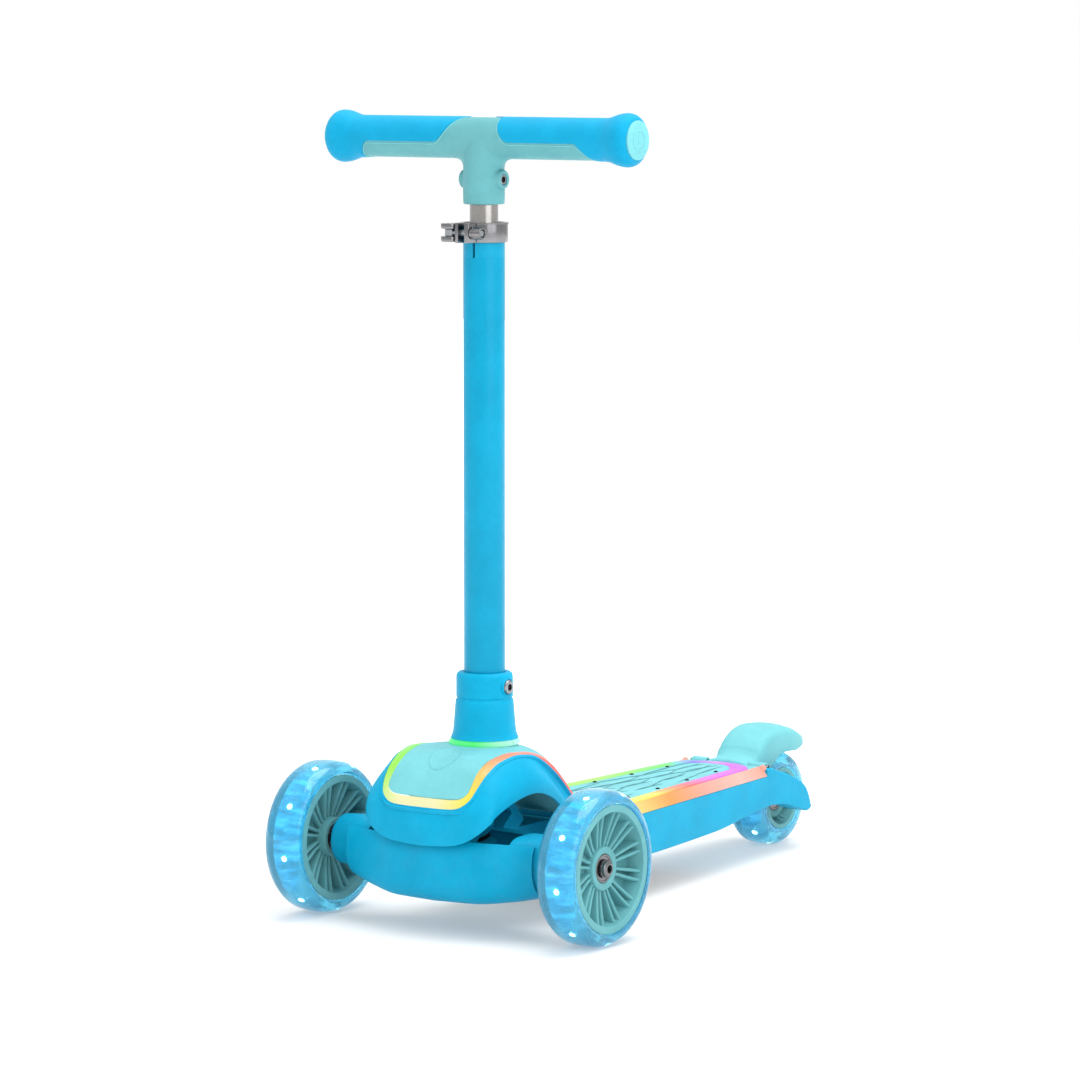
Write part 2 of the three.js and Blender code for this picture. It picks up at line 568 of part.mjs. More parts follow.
// ---------------------------------------------------------------- deck
const END_DEPTH = 28; // length of the round rear end of the ring and the footplate
const sideHalf = (y) => DECK_SIDE_AT_START - DECK_TAPER * (y - DECK_START);

// Deck plan with straight tapering sides moved in by inset, square at both ends.
function taperPlan(inset, y0, y1) {
  return mirroredX([[sideHalf(y0) - inset, y0], [sideHalf(y1) - inset, y1]]).reverse();
}
// Deck plan whose rear end is round: half an ellipse that starts where the sides stop.
function roundedPlan(inset, y0, endY) {
  const bend = endY - END_DEPTH;
  const half = sideHalf(bend) - inset;
  const steps = 7;
  const end = Array.from({ length: steps - 1 }, (_, i) => {
    const t = ((i + 1) * Math.PI) / (2 * steps);
    return [half * Math.cos(t), bend + END_DEPTH * Math.sin(t)];
  });
  return mirroredX([[sideHalf(y0) - inset, y0], [half, bend], ...end, [0, endY]]);
}

const RING_BED = 76; // the ring and the footplate lie on the deck shell at this height
const ARM_IN = 21; // inner face of the rear fork arms
const ARM_TIP_HALF = 38.5;
const ARM_TIP_Y = 470;
const AXLE_AT = [WHEELBASE, REAR_R];
const deckSide = [
  [DECK_START + GAP, DECK_BOTTOM], [190, DECK_BOTTOM], [300, 36.5], [335, 39], [361, 42], [390, 43.6],
  [401, 44], [414, 43], [428, 41], [441, 37], [455, 33], [464, 30.5], [468, 31], [ARM_TIP_Y, 34],
  [467, 44], [459, 54], [453, 57.5], [441, 62.5], [427, 68], [411, 72.5], [399, RING_BED],
  [DECK_START + GAP, RING_BED],
];
const deckPlan = mirroredX([
  [DECK_SIDE_AT_START, DECK_START + GAP], [sideHalf(383), 383], [ARM_TIP_HALF, ARM_TIP_Y],
]);
const LEDGE_Z = 69.7; // the side light strips stand on this ledge
const LEDGE_END = 391;
const CAVITY = { y0: 125, y1: 300, top: 66, inset: 8 }; // room for the battery
const COVER = { y0: 121, y1: 304, inset: 5, thick: 2.7 };
const PIN_HEAD_IN = 36; // the hinge pin's heads lie outside this
const PIN_HOLE = 2.7;
const coverPlan = (shrink) => taperPlan(COVER.inset + shrink, COVER.y0 + shrink, COVER.y1 - shrink);
const loopPlan = (outer, inner, z0, z1) =>
  cut(planPrism(roundedPlan(RING_INSET + outer, DECK_START + 8 + outer / 10, RING_END_Y - outer), z0, z1),
    planPrism(roundedPlan(RING_INSET + inner, DECK_START - 1, RING_END_Y - inner), z0 - 1, z1 + 1));
const acrossX = (radius, y, z, x0, x1, segments = SMALL_ROUND) =>
  alongX(rod(radius, x0, x1, segments)).translate(0, y, z);

function deckShell() {
  const block = common(sidePrism(deckSide, -80, 80), planPrism(deckPlan, 0, 120));
  const ledge = cut(planPrism(taperPlan(-20, DECK_START - 5, LEDGE_END), LEDGE_Z, 120),
    planPrism(taperPlan(RING_INSET + 0.9, DECK_START - 6, LEDGE_END + 1), LEDGE_Z - 1, 121));
  const knuckles = [1, -1].map((way) => {
    const [a, b] = [way * (ARM_IN + 0.2), way * PIN_HEAD_IN].sort((p, q) => p - q);
    return acrossX(4.8, HINGE_Y, HINGE_Z, a, b);
  });
  return cut(
    join(cut(block, ledge), ...knuckles),
    box(-ARM_IN, ARM_IN, 411.5, 500, 0, 120), // fork for the rear wheel
    box(-ARM_IN, ARM_IN, LEDGE_END + GAP, 500, 61, 120), // and for the brake's foot
    loopPlan(4, 8, 72.5, 90), // channel for the strip of lights
    planPrism(taperPlan(CAVITY.inset, CAVITY.y0, CAVITY.y1), 20, CAVITY.top),
    planPrism(coverPlan(0), 20, DECK_BOTTOM + COVER.thick + 0.5),
    acrossX(BEARING_BORE, ...AXLE_AT, -60, 35),
    acrossX(7.4, ...AXLE_AT, -60, -34.5),
    acrossX(PIN_HOLE, HINGE_Y, HINGE_Z, -60, 60),
    acrossX(4.4, HINGE_Y, HINGE_Z, PIN_HEAD_IN, 60),
    acrossX(4.4, HINGE_Y, HINGE_Z, -60, -PIN_HEAD_IN),
  );
}
part("deck_shell", deckShell(), BLUE);

const BUTTON_AT = [0, 150];
const COVER_Z = DECK_BOTTOM + 0.2;
const coverPlate = planPrism(coverPlan(GAP), COVER_Z, COVER_Z + COVER.thick);
part("deck_cover", cut(coverPlate, rod(6.2, 0, 60, SMALL_ROUND).translate(...BUTTON_AT, 0)), DARK);
part("light_button", turned([
  [0, 34], [5, 34], [5.4, 34.6], [5.4, 39.2], [8, 39.2], [8, 41], [0, 41],
], SMALL_ROUND).translate(...BUTTON_AT, 0), WHITE);
part("battery_pack", box(-26, 26, 190, 262, 38.4, 56), WHITE);
part("light_board", box(-20, 20, 128, 178, 60, 61.6), BOARD);
part("led_strip", loopPlan(4.5, 7.5, 72.8, 74), WHITE);

const footInset = RING_INSET + RING_WIDTH;
const footEnd = RING_END_Y - RING_WIDTH;
const PLATE_LOW = RING_BED + GAP;
const footPlan = roundedPlan(footInset + GAP, DECK_START + GAP, footEnd);
part("footplate", planPrism(footPlan, PLATE_LOW, DECK_TOP), MINT);
part("deck_light_ring", cut(
  planPrism(roundedPlan(RING_INSET, DECK_START + GAP, RING_END_Y), PLATE_LOW, DECK_TOP),
  planPrism(roundedPlan(footInset, DECK_START - 1, footEnd + GAP), 70, 90),
), GLOW);

// Side light strips: a sloping face over a flat foot, drawn from the deck's side inwards.
const STRIP_Z = LEDGE_Z + GAP;
const stripSection = [[-6.7, 78.8], [0, 71], [0, STRIP_Z], [-7.5, STRIP_Z], [-7.5, 76], [-6.7, 76]];
for (const [side, way] of [["left", 1], ["right", -1]]) {
  const ends = [DECK_START + 1, LEDGE_END - 0.4].map((y) =>
    stripSection.map(([x, z]) => new THREE.Vector3(way * (sideHalf(y) + x), y, z)));
  part(`side_light_strip_${side}`, loft(ends, (p) => new THREE.Vector2(p.x, p.z)), GLOW);
}

// ---------------------------------------------------------------- rear wheel and brake
const rear = frameAt(0, ...AXLE_AT);
rear.rotation.y = Math.PI / 2;
wheel("rear", rear, REAR_R, 26.3, 23.5, 8);
const AXLE_END = 34.5;
part("rear_axle", turned([
  [0, -39], [6.8, -39], [6.8, -AXLE_END - GAP], [AXLE_R, -AXLE_END - GAP], [AXLE_R, AXLE_END], [0, AXLE_END],
], SMALL_ROUND), STEEL, rear);
for (const [side, way] of [["left", 1], ["right", -1]]) {
  const [a, b] = [way * (BEARING_OUT + GAP), way * (ARM_IN - GAP)].sort((p, q) => p - q);
  part(`rear_spacer_${side}`, sleeve(6, BEARING_BORE, a, b, SMALL_ROUND), STEEL, rear);
}

const FENDER_IN_R = 44.3;
const PAD_FROM = 82; // degrees about the axle, from straight back
const PAD_TO = 118;
const PAD_HALF = 12;
const aboutAxle = (radius, degrees) => {
  const t = THREE.MathUtils.degToRad(degrees);
  return [WHEELBASE + radius * Math.cos(t), REAR_R + radius * Math.sin(t)];
};
function arcBand(innerR, outerR, from, to) {
  const steps = Array.from({ length: 7 }, (_, i) => from + ((to - from) * i) / 6);
  return [
    ...steps.map((degrees) => aboutAxle(innerR, degrees)),
    ...steps.toReversed().map((degrees) => aboutAxle(outerR, degrees)),
  ];
}
const fenderSide = [
  [394, 74], [394, 78.5], [396.5, 80.6], [405, 81.2], [411, 85], [417, 91.5], [424, 97.5], [433, 102],
  [445, 104], [458, 103.4], [472, 100.4], [486, 95.6], [498, 90.2], [505, 86], [TAIL_Y, 82.5], [507, 79.5],
  [503, 77.8], [494, 77.4],
  ...[54, 66, 78, 90, 102, 114, 126, 138, 149].map((degrees) => aboutAxle(FENDER_IN_R, degrees)),
  [411, 65.5], [400, 68.6], [396, 70.5],
];
function brakeFender() {
  const narrow = sidePrism(fenderSide, 0.4 - ARM_IN, ARM_IN - 0.4);
  const wide = common(sidePrism(fenderSide, -23.5, 23.5), box(-30, 30, 407, 520, 78.2, 120));
  const springRoom = box(-7, 7, 390, 405, 60, HINGE_Z + 4.4);
  const seat = arcBand(FENDER_IN_R - 3, FENDER_IN_R + 1 + GAP, PAD_FROM - 0.4, PAD_TO + 0.4);
  return cut(
    join(narrow, wide),
    acrossX(PIN_HOLE, HINGE_Y, HINGE_Z, -40, 40),
    springRoom,
    sidePrism(seat, -PAD_HALF - GAP, PAD_HALF + GAP),
  );
}
part("brake_fender", brakeFender(), MINT);
const padSide = arcBand(FENDER_IN_R - 1.5, FENDER_IN_R + 1, PAD_FROM, PAD_TO);
part("brake_pad", sidePrism(padSide, -PAD_HALF, PAD_HALF), STEEL);

const PIN_END = 41.5;
const pinShank = PIN_HOLE - GAP;
const pinHead = [
  [pinShank, PIN_HEAD_IN + GAP], [3.9, PIN_HEAD_IN + GAP], [3.9, PIN_END - 1], [3.2, PIN_END],
];
part("brake_pin", alongX(turned([
  [0, -PIN_END], ...pinHead.toReversed().map(([r, x]) => [r, -x]), ...pinHead, [0, PIN_END],
], SMALL_ROUND)).translate(0, HINGE_Y, HINGE_Z), CHROME);

// Torsion spring: a round wire wound about the hinge pin.
const COIL_R = 3.6;
const COIL_HALF = 5.2;
const COIL_TURNS = 4;
const WIRE_R = 0.5;
class Coil extends THREE.Curve {
  getPoint(t, target = new THREE.Vector3()) {
    const angle = 2 * Math.PI * COIL_TURNS * t;
    const [y, z] = [HINGE_Y + COIL_R * Math.cos(angle), HINGE_Z + COIL_R * Math.sin(angle)];
    return target.set(COIL_HALF * (2 * t - 1), y, z);
  }
}
const wire = new THREE.Shape(oval(0, 0, WIRE_R, WIRE_R, 4).map(([x, y]) => new THREE.Vector2(x, y)));
part("brake_spring", new THREE.ExtrudeGeometry(wire, { steps: 40, extrudePath: new Coil() }), STEEL);

export default outer;
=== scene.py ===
"""A child's kick scooter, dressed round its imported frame: moulded shells, lights, tyres and fittings."""

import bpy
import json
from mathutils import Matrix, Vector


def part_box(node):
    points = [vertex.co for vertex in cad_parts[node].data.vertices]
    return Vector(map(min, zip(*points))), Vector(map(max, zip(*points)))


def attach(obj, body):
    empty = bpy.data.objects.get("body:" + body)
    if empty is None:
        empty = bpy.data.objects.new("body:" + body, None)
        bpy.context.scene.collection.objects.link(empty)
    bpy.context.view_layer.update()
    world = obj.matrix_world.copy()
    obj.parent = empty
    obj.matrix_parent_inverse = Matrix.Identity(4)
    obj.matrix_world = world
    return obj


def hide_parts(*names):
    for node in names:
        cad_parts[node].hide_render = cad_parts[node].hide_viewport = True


bl_info = {
    "name": "Kick Scooter",
    "version": (1, 0, 0),
    "blender": (4, 5, 0),
    "location": "3D View > Sidebar > Scooter",
    "description": "Builds the moulded shells, lights, wheels and fittings of a child's kick scooter",
    "category": "Object",
}

import json
import math

import bpy
import numpy as np

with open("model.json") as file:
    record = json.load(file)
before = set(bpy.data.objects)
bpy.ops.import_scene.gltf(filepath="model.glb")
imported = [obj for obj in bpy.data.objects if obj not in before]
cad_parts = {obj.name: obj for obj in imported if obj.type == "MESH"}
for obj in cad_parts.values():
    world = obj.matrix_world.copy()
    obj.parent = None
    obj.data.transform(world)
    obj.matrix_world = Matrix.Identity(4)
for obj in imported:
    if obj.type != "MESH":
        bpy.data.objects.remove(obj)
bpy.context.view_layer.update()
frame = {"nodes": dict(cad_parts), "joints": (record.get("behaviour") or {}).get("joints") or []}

# ---------------------------------------------------------------- the frame's own places
# Shapes are worked out in millimetres from the point on the ground below the front axle.
MM = 0.001
JOINTS = {joint["name"]: joint for joint in frame["joints"]}
AXLE_Y = JOINTS["front_left_spin"]["pos_m"][1] / MM
LOCAL = np.array([0.0, AXLE_Y, 0.0])


def local_box(node):
    """A CAD node's lowest and highest corners, in millimetres from below the front axle."""
    low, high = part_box(node)
    return np.array(low) / MM - LOCAL, np.array(high) / MM - LOCAL


def middle(node):
    """The middle of a CAD node's box, in the same millimetres."""
    low, high = local_box(node)
    return (low + high) / 2


def joint_at(name):
    """A joint's place, in millimetres from below the front axle."""
    return np.array(JOINTS[name]["pos_m"]) / MM - LOCAL


FRONT_Z = joint_at("front_left_spin")[2]
REAR_Y, REAR_Z = joint_at("rear_spin")[1:]
TRACK_HALF = joint_at("front_left_spin")[0]
TUBE_LOW, TUBE_HIGH = local_box("outer_tube")
STEM_Y = (TUBE_LOW[1] + TUBE_HIGH[1]) / 2
TUBE_R = TUBE_HIGH[0]
GRIP_LOW, GRIP_HIGH = local_box("grip_left")
BAR_Z = (GRIP_LOW[2] + GRIP_HIGH[2]) / 2
DECK_TOP = local_box("footplate")[1][2]
DECK_LOW = local_box("deck_shell")[0][2]
DECK_START = local_box("deck_shell")[0][1]
HINGE = joint_at("brake_press")
STEER_LEAN = math.radians(40)
CLAMP_TURN = math.radians(-5)
TUBE_BORE, SLIT_FOOT, SLIT_HALF = 13.8, 516.4, 1.0  # of the outer tube and the slit in its upper end


# ---------------------------------------------------------------- surfaces
def eased(t):
    """A step from 0 to 1 with level ends: three t squared less two t cubed."""
    t = np.clip(t, 0, 1)
    return t * t * (3 - 2 * t)


def smooth_curve(points, count):
    """count points on a Catmull-Rom curve through the given points, evenly spaced along its length."""
    p = np.asarray(points, float)
    p = np.vstack([2 * p[0] - p[1], p, 2 * p[-1] - p[-2]])
    t = np.linspace(0, 1, 24, endpoint=False)[None, :, None]
    a, b, c, d = (p[i:len(p) - 3 + i][:, None] for i in range(4))
    fine = 0.5 * (2 * b + (c - a) * t + (2 * a - 5 * b + 4 * c - d) * t**2 + (3 * b - a - 3 * c + d) * t**3)
    fine = np.vstack([fine.reshape(-1, p.shape[1]), p[-2]])
    return evenly(fine, count)


def evenly(points, count):
    """count points on a line of points, evenly spaced along its length."""
    p = np.asarray(points, float)
    run = np.concatenate([[0], np.cumsum(np.linalg.norm(np.diff(p, axis=0), axis=1))])
    at = np.linspace(0, run[-1], count)
    return np.stack([np.interp(at, run, p[:, k]) for k in range(p.shape[1])], -1)


def softened(outline, radius, steps=3, closed=True):
    """An outline with its corners rounded: a quadratic curve from radius before to radius after each."""
    p = np.asarray(outline, float)
    before, after = np.roll(p, 1, axis=0), np.roll(p, -1, axis=0)
    back, ahead = before - p, after - p
    back_run = np.linalg.norm(back, axis=1, keepdims=True)
    ahead_run = np.linalg.norm(ahead, axis=1, keepdims=True)
    reach = np.minimum(radius, 0.45 * np.minimum(back_run, ahead_run))
    start, end = p + back / back_run * reach, p + ahead / ahead_run * reach
    t = np.linspace(0, 1, steps + 1)[None, :, None]
    bent = start[:, None] * (1 - t) ** 2 + 2 * p[:, None] * t * (1 - t) + end[:, None] * t**2
    if closed:
        return bent.reshape(-1, 2)
    return np.vstack([p[:1], bent[1:-1].reshape(-1, 2), p[-1:]])


def column(rows, at, which):
    """A smooth value at each y from rows of [y, values ...]: piecewise cubic with limited slopes."""
    rows = np.asarray(rows, float)
    x, y = rows[:, 0], rows[:, which]
    step = np.diff(y) / np.diff(x)
    inner = np.where(step[:-1] * step[1:] > 0, 2 * step[:-1] * step[1:] / (step[:-1] + step[1:] + 1e-12), 0)
    slope = np.concatenate([step[:1], inner, step[-1:]])
    at = np.clip(np.asarray(at, float), x[0], x[-1])
    i = np.clip(np.searchsorted(x, at) - 1, 0, len(x) - 2)
    h = x[i + 1] - x[i]
    t = (at - x[i]) / h
    first = (1 + 2 * t) * (1 - t) ** 2 * y[i] + t * (1 - t) ** 2 * h * slope[i]
    return first + t * t * (3 - 2 * t) * y[i + 1] + t * t * (t - 1) * h * slope[i + 1]


def quads(rows, columns, rows_close=False, columns_close=False):
    """The faces between neighbouring points of a grid of rows by columns."""
    r = np.arange(rows if rows_close else rows - 1)
    c = np.arange(columns if columns_close else columns - 1)
    a, b = (g.ravel() for g in np.meshgrid(r, c, indexing="ij"))
    a2, b2 = (a + 1) % rows, (b + 1) % columns
    corners = [a * columns + b, a * columns + b2, a2 * columns + b2, a2 * columns + b]
    return np.stack(corners, -1).tolist()


def swept(sections, closed=False):
    """A closed shell through sections of equal length: section i, point j. Open ends get flat caps."""
    s = np.asarray(sections, float)
    rows, columns = s.shape[:2]
    faces = quads(rows, columns, closed, True)
    if not closed:
        faces.append(list(range(columns))[::-1])
        faces.append(list(range((rows - 1) * columns, rows * columns)))
    return s.reshape(-1, 3), faces


def thick(grid, depth):
    """A closed sheet: the grid, and the same grid moved in by depth along its normals."""
    g = np.asarray(grid, float)
    along, across = np.gradient(g, axis=0), np.gradient(g, axis=1)
    normal = np.cross(along, across)
    normal /= np.linalg.norm(normal, axis=2, keepdims=True) + 1e-12
    rows, columns = g.shape[:2]
    both = np.concatenate([g, (g - normal * depth)[::-1]], axis=0)
    faces = quads(2 * rows, columns, True, False)
    low = np.arange(rows - 1) * columns
    high = (2 * rows - 1 - np.arange(rows - 1)) * columns
    for e, flip in ((0, 1), (columns - 1, -1)):
        strip = np.stack([low + e, low + columns + e, high - columns + e, high + e], -1)
        faces += strip[:, ::flip].tolist()
    return both.reshape(-1, 3), faces


def turned(profile, segments=72, centre=(0, 0, 0), axis="z", sense=1):
    """A closed profile of (radius, height) turned about an axis through centre. Height runs along it."""
    p = np.asarray(profile, float)
    on_axis = p[:, 0] < 1e-6
    open_ends = bool(on_axis[0])
    p = p[~on_axis]
    angle = np.linspace(0, 2 * np.pi, segments, endpoint=False)
    flat = [p[:, :1] * np.cos(angle), p[:, :1] * np.sin(angle), np.repeat(p[:, 1:] * sense, segments, 1)]
    order = {"z": (0, 1, 2), "x": (2, 0, 1), "y": (1, 2, 0)}[axis]
    grid = np.stack([flat[k] for k in order], -1)
    points, faces = swept(grid, closed=not open_ends)
    return points + np.asarray(centre, float), faces


def offset(outline, depth):
    """A closed outline with every point moved in by depth, along the mean normal of its two edges."""
    p = np.asarray(outline, float)
    edge = np.roll(p, -1, axis=0) - p
    normal = np.stack([edge[:, 1], -edge[:, 0]], -1)
    normal /= np.linalg.norm(normal, axis=1, keepdims=True) + 1e-12
    mean = normal + np.roll(normal, 1, axis=0)
    mean /= np.maximum(np.linalg.norm(mean, axis=1, keepdims=True), 0.35)
    area = np.sum(p[:, 0] * np.roll(p[:, 1], -1) - np.roll(p[:, 0], -1) * p[:, 1])
    return p - mean * depth * np.sign(area)


def pressed(outline, low, high, edge, lay):
    """An outline given depth from low to high, its rims rounded by quarter circles of radius edge."""
    t = np.linspace(0, np.pi / 2, 4)
    inset = np.concatenate([edge * (1 - np.sin(t)), edge * (1 - np.cos(t))])
    height = np.concatenate([low + edge * (1 - np.cos(t)), high - edge * (1 - np.sin(t))])
    return swept([lay(offset(outline, d), h) for d, h in zip(inset, height)])


def plan(p, h):
    """A plan outline laid level at height h."""
    return np.stack([p[:, 0], p[:, 1], np.full(len(p), float(h))], -1)


def station(loop, y):
    """An outline of (x, z) stood upright across the scooter at y."""
    return np.column_stack([loop[:, 0], np.full(len(loop), y), loop[:, 1]])


def hoop(radius, x, angle):
    """Points round the x axis at x: radius times the cosine and the sine of each angle."""
    return np.stack([np.full(len(angle), x), radius * np.cos(angle), radius * np.sin(angle)], -1)


def sleeve(inner, outer, low, high, edge):
    """The profile of a tube or washer with rounded rims, to be turned."""
    return softened([[inner, low], [outer, low], [outer, high], [inner, high]], edge)


def doubled(half):
    """An outline's right half closed by the same half on the left, in reverse."""
    return np.vstack([half, (half * np.array([-1, 1]))[::-1]])


def leftwards(line):
    """The unit normal to the left of a plan line, at each of its points."""
    slope = np.gradient(line, axis=0)
    normal = np.stack([-slope[:, 1], slope[:, 0]], -1)
    return normal / np.linalg.norm(normal, axis=1, keepdims=True)


def box_shell(low, high, edge=0.5):
    """A box with rounded rims: an upright outline pressed from the low to the high corner."""
    (x0, y0, z0), (x1, y1, z1) = low, high
    outline = softened([[x0, y0], [x1, y0], [x1, y1], [x0, y1]], edge * 2)
    return pressed(outline, z0, z1, edge, plan)


def rotated(shell, angle, centre=(0, 0, 0), axis="z"):
    """A shell turned by an angle in radians about an axis through centre."""
    points, faces = shell
    a, b = {"z": (0, 1), "x": (1, 2), "y": (2, 0)}[axis]
    moved = points - np.asarray(centre, float)
    out = moved.copy()
    out[:, a] = moved[:, a] * math.cos(angle) - moved[:, b] * math.sin(angle)
    out[:, b] = moved[:, a] * math.sin(angle) + moved[:, b] * math.cos(angle)
    return out + np.asarray(centre, float), faces


def mirrored(shell):
    """A shell on the other side of the middle, its faces turned back outwards."""
    points, faces = shell
    return points * np.array([-1, 1, 1]), [face[::-1] for face in faces]


def shell_volume(points, faces):
    """The signed volume of a closed shell: a sixth of the sum over its triangles of a . (b x c)."""
    total = 0.0
    four = np.array([f for f in faces if len(f) == 4])
    if len(four):
        a, b, c, d = (points[four[:, k]] for k in range(4))
        total += np.sum(a * np.cross(b, c)) + np.sum(a * np.cross(c, d))
    for face in (f for f in faces if len(f) != 4):
        ring = points[face]
        total += np.sum(np.cross(ring[1:-1], ring[2:]) @ ring[0])
    return total / 6


def piece(name, shells, body, material, replaces=(), flat_above=35, attribute=None):
    """One object from closed shells: turned outwards, in metres, riding on its body."""
    points, faces, values, count = [], [], [], 0
    for k, (shell_points, shell_faces) in enumerate(shells):
        outward = shell_volume(shell_points, shell_faces) > 0
        points.append(shell_points)
        faces.extend([[i + count for i in (f if outward else f[::-1])] for f in shell_faces])
        values.append(attribute[k] if attribute else np.zeros(len(shell_points)))
        count += len(shell_points)
    mesh = bpy.data.meshes.new(name)
    mesh.from_pydata(((np.vstack(points) + LOCAL) * MM).tolist(), [], faces)
    mesh.polygons.foreach_set("use_smooth", np.ones(len(mesh.polygons), bool))
    mesh.set_sharp_from_angle(angle=math.radians(flat_above))
    if attribute:
        layer = mesh.attributes.new("along", "FLOAT", "POINT")
        layer.data.foreach_set("value", np.concatenate(values).astype(np.float32))
    mesh.materials.append(material)
    mesh.update()
    made = bpy.data.objects.new(name, mesh)
    bpy.context.scene.collection.objects.link(made)
    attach(made, body)
    if replaces:
        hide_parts(*replaces)
    return made


# ---------------------------------------------------------------- materials
NODE_STEP = 220
WHITE, BLACK = [1.0, 1.0, 1.0, 1.0], [0.0, 0.0, 0.0, 1.0]
DUST = (0.62, 0.6, 0.56)


def linear(colour):
    """sRGB values as the linear values that a shader works in."""
    c = np.asarray(colour, float)
    return [float(v) for v in np.where(c <= 0.04045, c / 12.92, ((c + 0.055) / 1.055) ** 2.4)] + [1.0]


class Tree:
    """A short way to place and wire nodes in a material or a node group."""

    def __init__(self, tree):
        """Starts with no nodes of its own."""
        self.tree = tree
        self.count = 0

    def add(self, kind, **settings):
        """A new node with its settings, placed in rows of six."""
        node = self.tree.nodes.new(kind)
        node.location = (self.count % 6 * NODE_STEP, -(self.count // 6) * NODE_STEP)
        self.count += 1
        for key, value in settings.items():
            setattr(node, key, value)
        return node

    def wire(self, source, target):
        """Links an output to an input."""
        self.tree.links.new(source, target)

    def math(self, operation, a, b, clamp=False):
        """The output of a Math node on two numbers or sockets."""
        node = self.add("ShaderNodeMath", operation=operation, use_clamp=clamp)
        for socket, value in zip(node.inputs, (a, b)):
            if isinstance(value, (int, float)):
                socket.default_value = value
            else:
                self.wire(value, socket)
        return node.outputs[0]

    def times(self, a, b, clamp=False):
        """a times b."""
        return self.math("MULTIPLY", a, b, clamp)

    def plus(self, a, b, clamp=False):
        """a plus b."""
        return self.math("ADD", a, b, clamp)

    def noise(self, vector, scale, detail=4.0, rough=0.55, stretch=None):
        """A Noise texture's factor, its coordinates scaled by stretch first."""
        node = self.add("ShaderNodeTexNoise")
        set_sockets(node, Detail=detail, Roughness=rough, Scale=scale)
        if stretch:
            mapping = self.add("ShaderNodeMapping")
            set_sockets(mapping, Scale=stretch)
            self.wire(vector, mapping.inputs["Vector"])
            vector = mapping.outputs[0]
        self.wire(vector, node.inputs["Vector"])
        return node.outputs["Fac"]

    def ramp(self, value, stops):
        """A colour ramp over (place, colour) stops."""
        node = self.add("ShaderNodeValToRGB")
        for place, _ in stops[1:-1]:
            node.color_ramp.elements.new(place)
        for element, (place, colour) in zip(node.color_ramp.elements, stops):
            element.position = place
            element.color = colour
        self.wire(value, node.inputs["Fac"])
        return node.outputs["Color"]

    def mix(self, factor, a, b):
        """Colour a mixed towards colour b by factor."""
        node = self.add("ShaderNodeMix", data_type="RGBA")
        for socket, value in zip((node.inputs[0], node.inputs[6], node.inputs[7]), (factor, a, b)):
            if isinstance(value, (int, float, list, tuple)):
                socket.default_value = value
            else:
                self.wire(value, socket)
        return node.outputs[2]


def effect_group(name, inputs, outputs):
    """An empty shader node group with the given sockets, its tree, and its two end nodes."""
    group = bpy.data.node_groups.new(name, "ShaderNodeTree")
    for label, kind, default in inputs:
        socket = group.interface.new_socket(label, in_out="INPUT", socket_type=kind)
        if default is not None:
            socket.default_value = default
    for label, kind in outputs:
        group.interface.new_socket(label, in_out="OUTPUT", socket_type=kind)
    tree = Tree(group)
    return group, tree, tree.add("NodeGroupInput"), tree.add("NodeGroupOutput")


def moulded_grain():
    """Moulding grain: a fine pebbled height, slow drifts of tone and gloss, and worn convex edges."""
    group, t, start, end = effect_group(
        "moulded grain",
        [("Vector", "NodeSocketVector", None), ("Grain", "NodeSocketFloat", 2600.0),
         ("Edge wear", "NodeSocketFloat", 0.3)],
        [("Height", "NodeSocketFloat"), ("Drift", "NodeSocketFloat"), ("Gloss", "NodeSocketFloat"),
         ("Wear", "NodeSocketFloat")],
    )
    vector = start.outputs["Vector"]
    pebbles = t.add("ShaderNodeTexVoronoi", feature="SMOOTH_F1")
    t.wire(vector, pebbles.inputs["Vector"])
    t.wire(start.outputs["Grain"], pebbles.inputs["Scale"])
    fine = t.noise(vector, 5200.0, 2.0)
    flow = t.noise(vector, 34.0, 2.0)
    t.wire(t.plus(t.times(pebbles.outputs["Distance"], 0.7), t.times(fine, 0.3)), end.inputs["Height"])
    t.wire(t.plus(t.times(flow, 0.7), t.times(t.noise(vector, 260.0), 0.3)), end.inputs["Drift"])
    smears = t.noise(vector, 90.0, 5.0, 0.65, (1.0, 0.35, 1.0))
    t.wire(smears, end.inputs["Gloss"])
    geometry = t.add("ShaderNodeNewGeometry")
    ridge = t.add("ShaderNodeMapRange")
    set_sockets(ridge, From_Min=0.53, From_Max=0.66)
    t.wire(geometry.outputs["Pointiness"], ridge.inputs["Value"])
    rubbed = t.times(ridge.outputs[0], t.noise(vector, 420.0, 6.0, 0.7))
    t.wire(t.times(rubbed, start.outputs["Edge wear"], clamp=True), end.inputs["Wear"])
    return group


def fine_scratches():
    """Hairline scratches: three crossing sets of long thin noise, kept to their brightest parts."""
    group, t, start, end = effect_group(
        "fine scratches",
        [("Vector", "NodeSocketVector", None), ("Amount", "NodeSocketFloat", 0.5)],
        [("Mask", "NodeSocketFloat")],
    )
    total = None
    for stretch in ((1.0, 0.02, 0.4), (0.03, 1.0, 0.3), (0.5, 0.5, 0.02)):
        lines = t.noise(start.outputs["Vector"], 900.0, 3.0, 0.5, stretch)
        kept = t.times(t.math("SUBTRACT", lines, 0.64), 9.0, clamp=True)
        total = kept if total is None else t.math("MAXIMUM", total, kept)
    t.wire(t.times(total, start.outputs["Amount"]), end.inputs["Mask"])
    return group


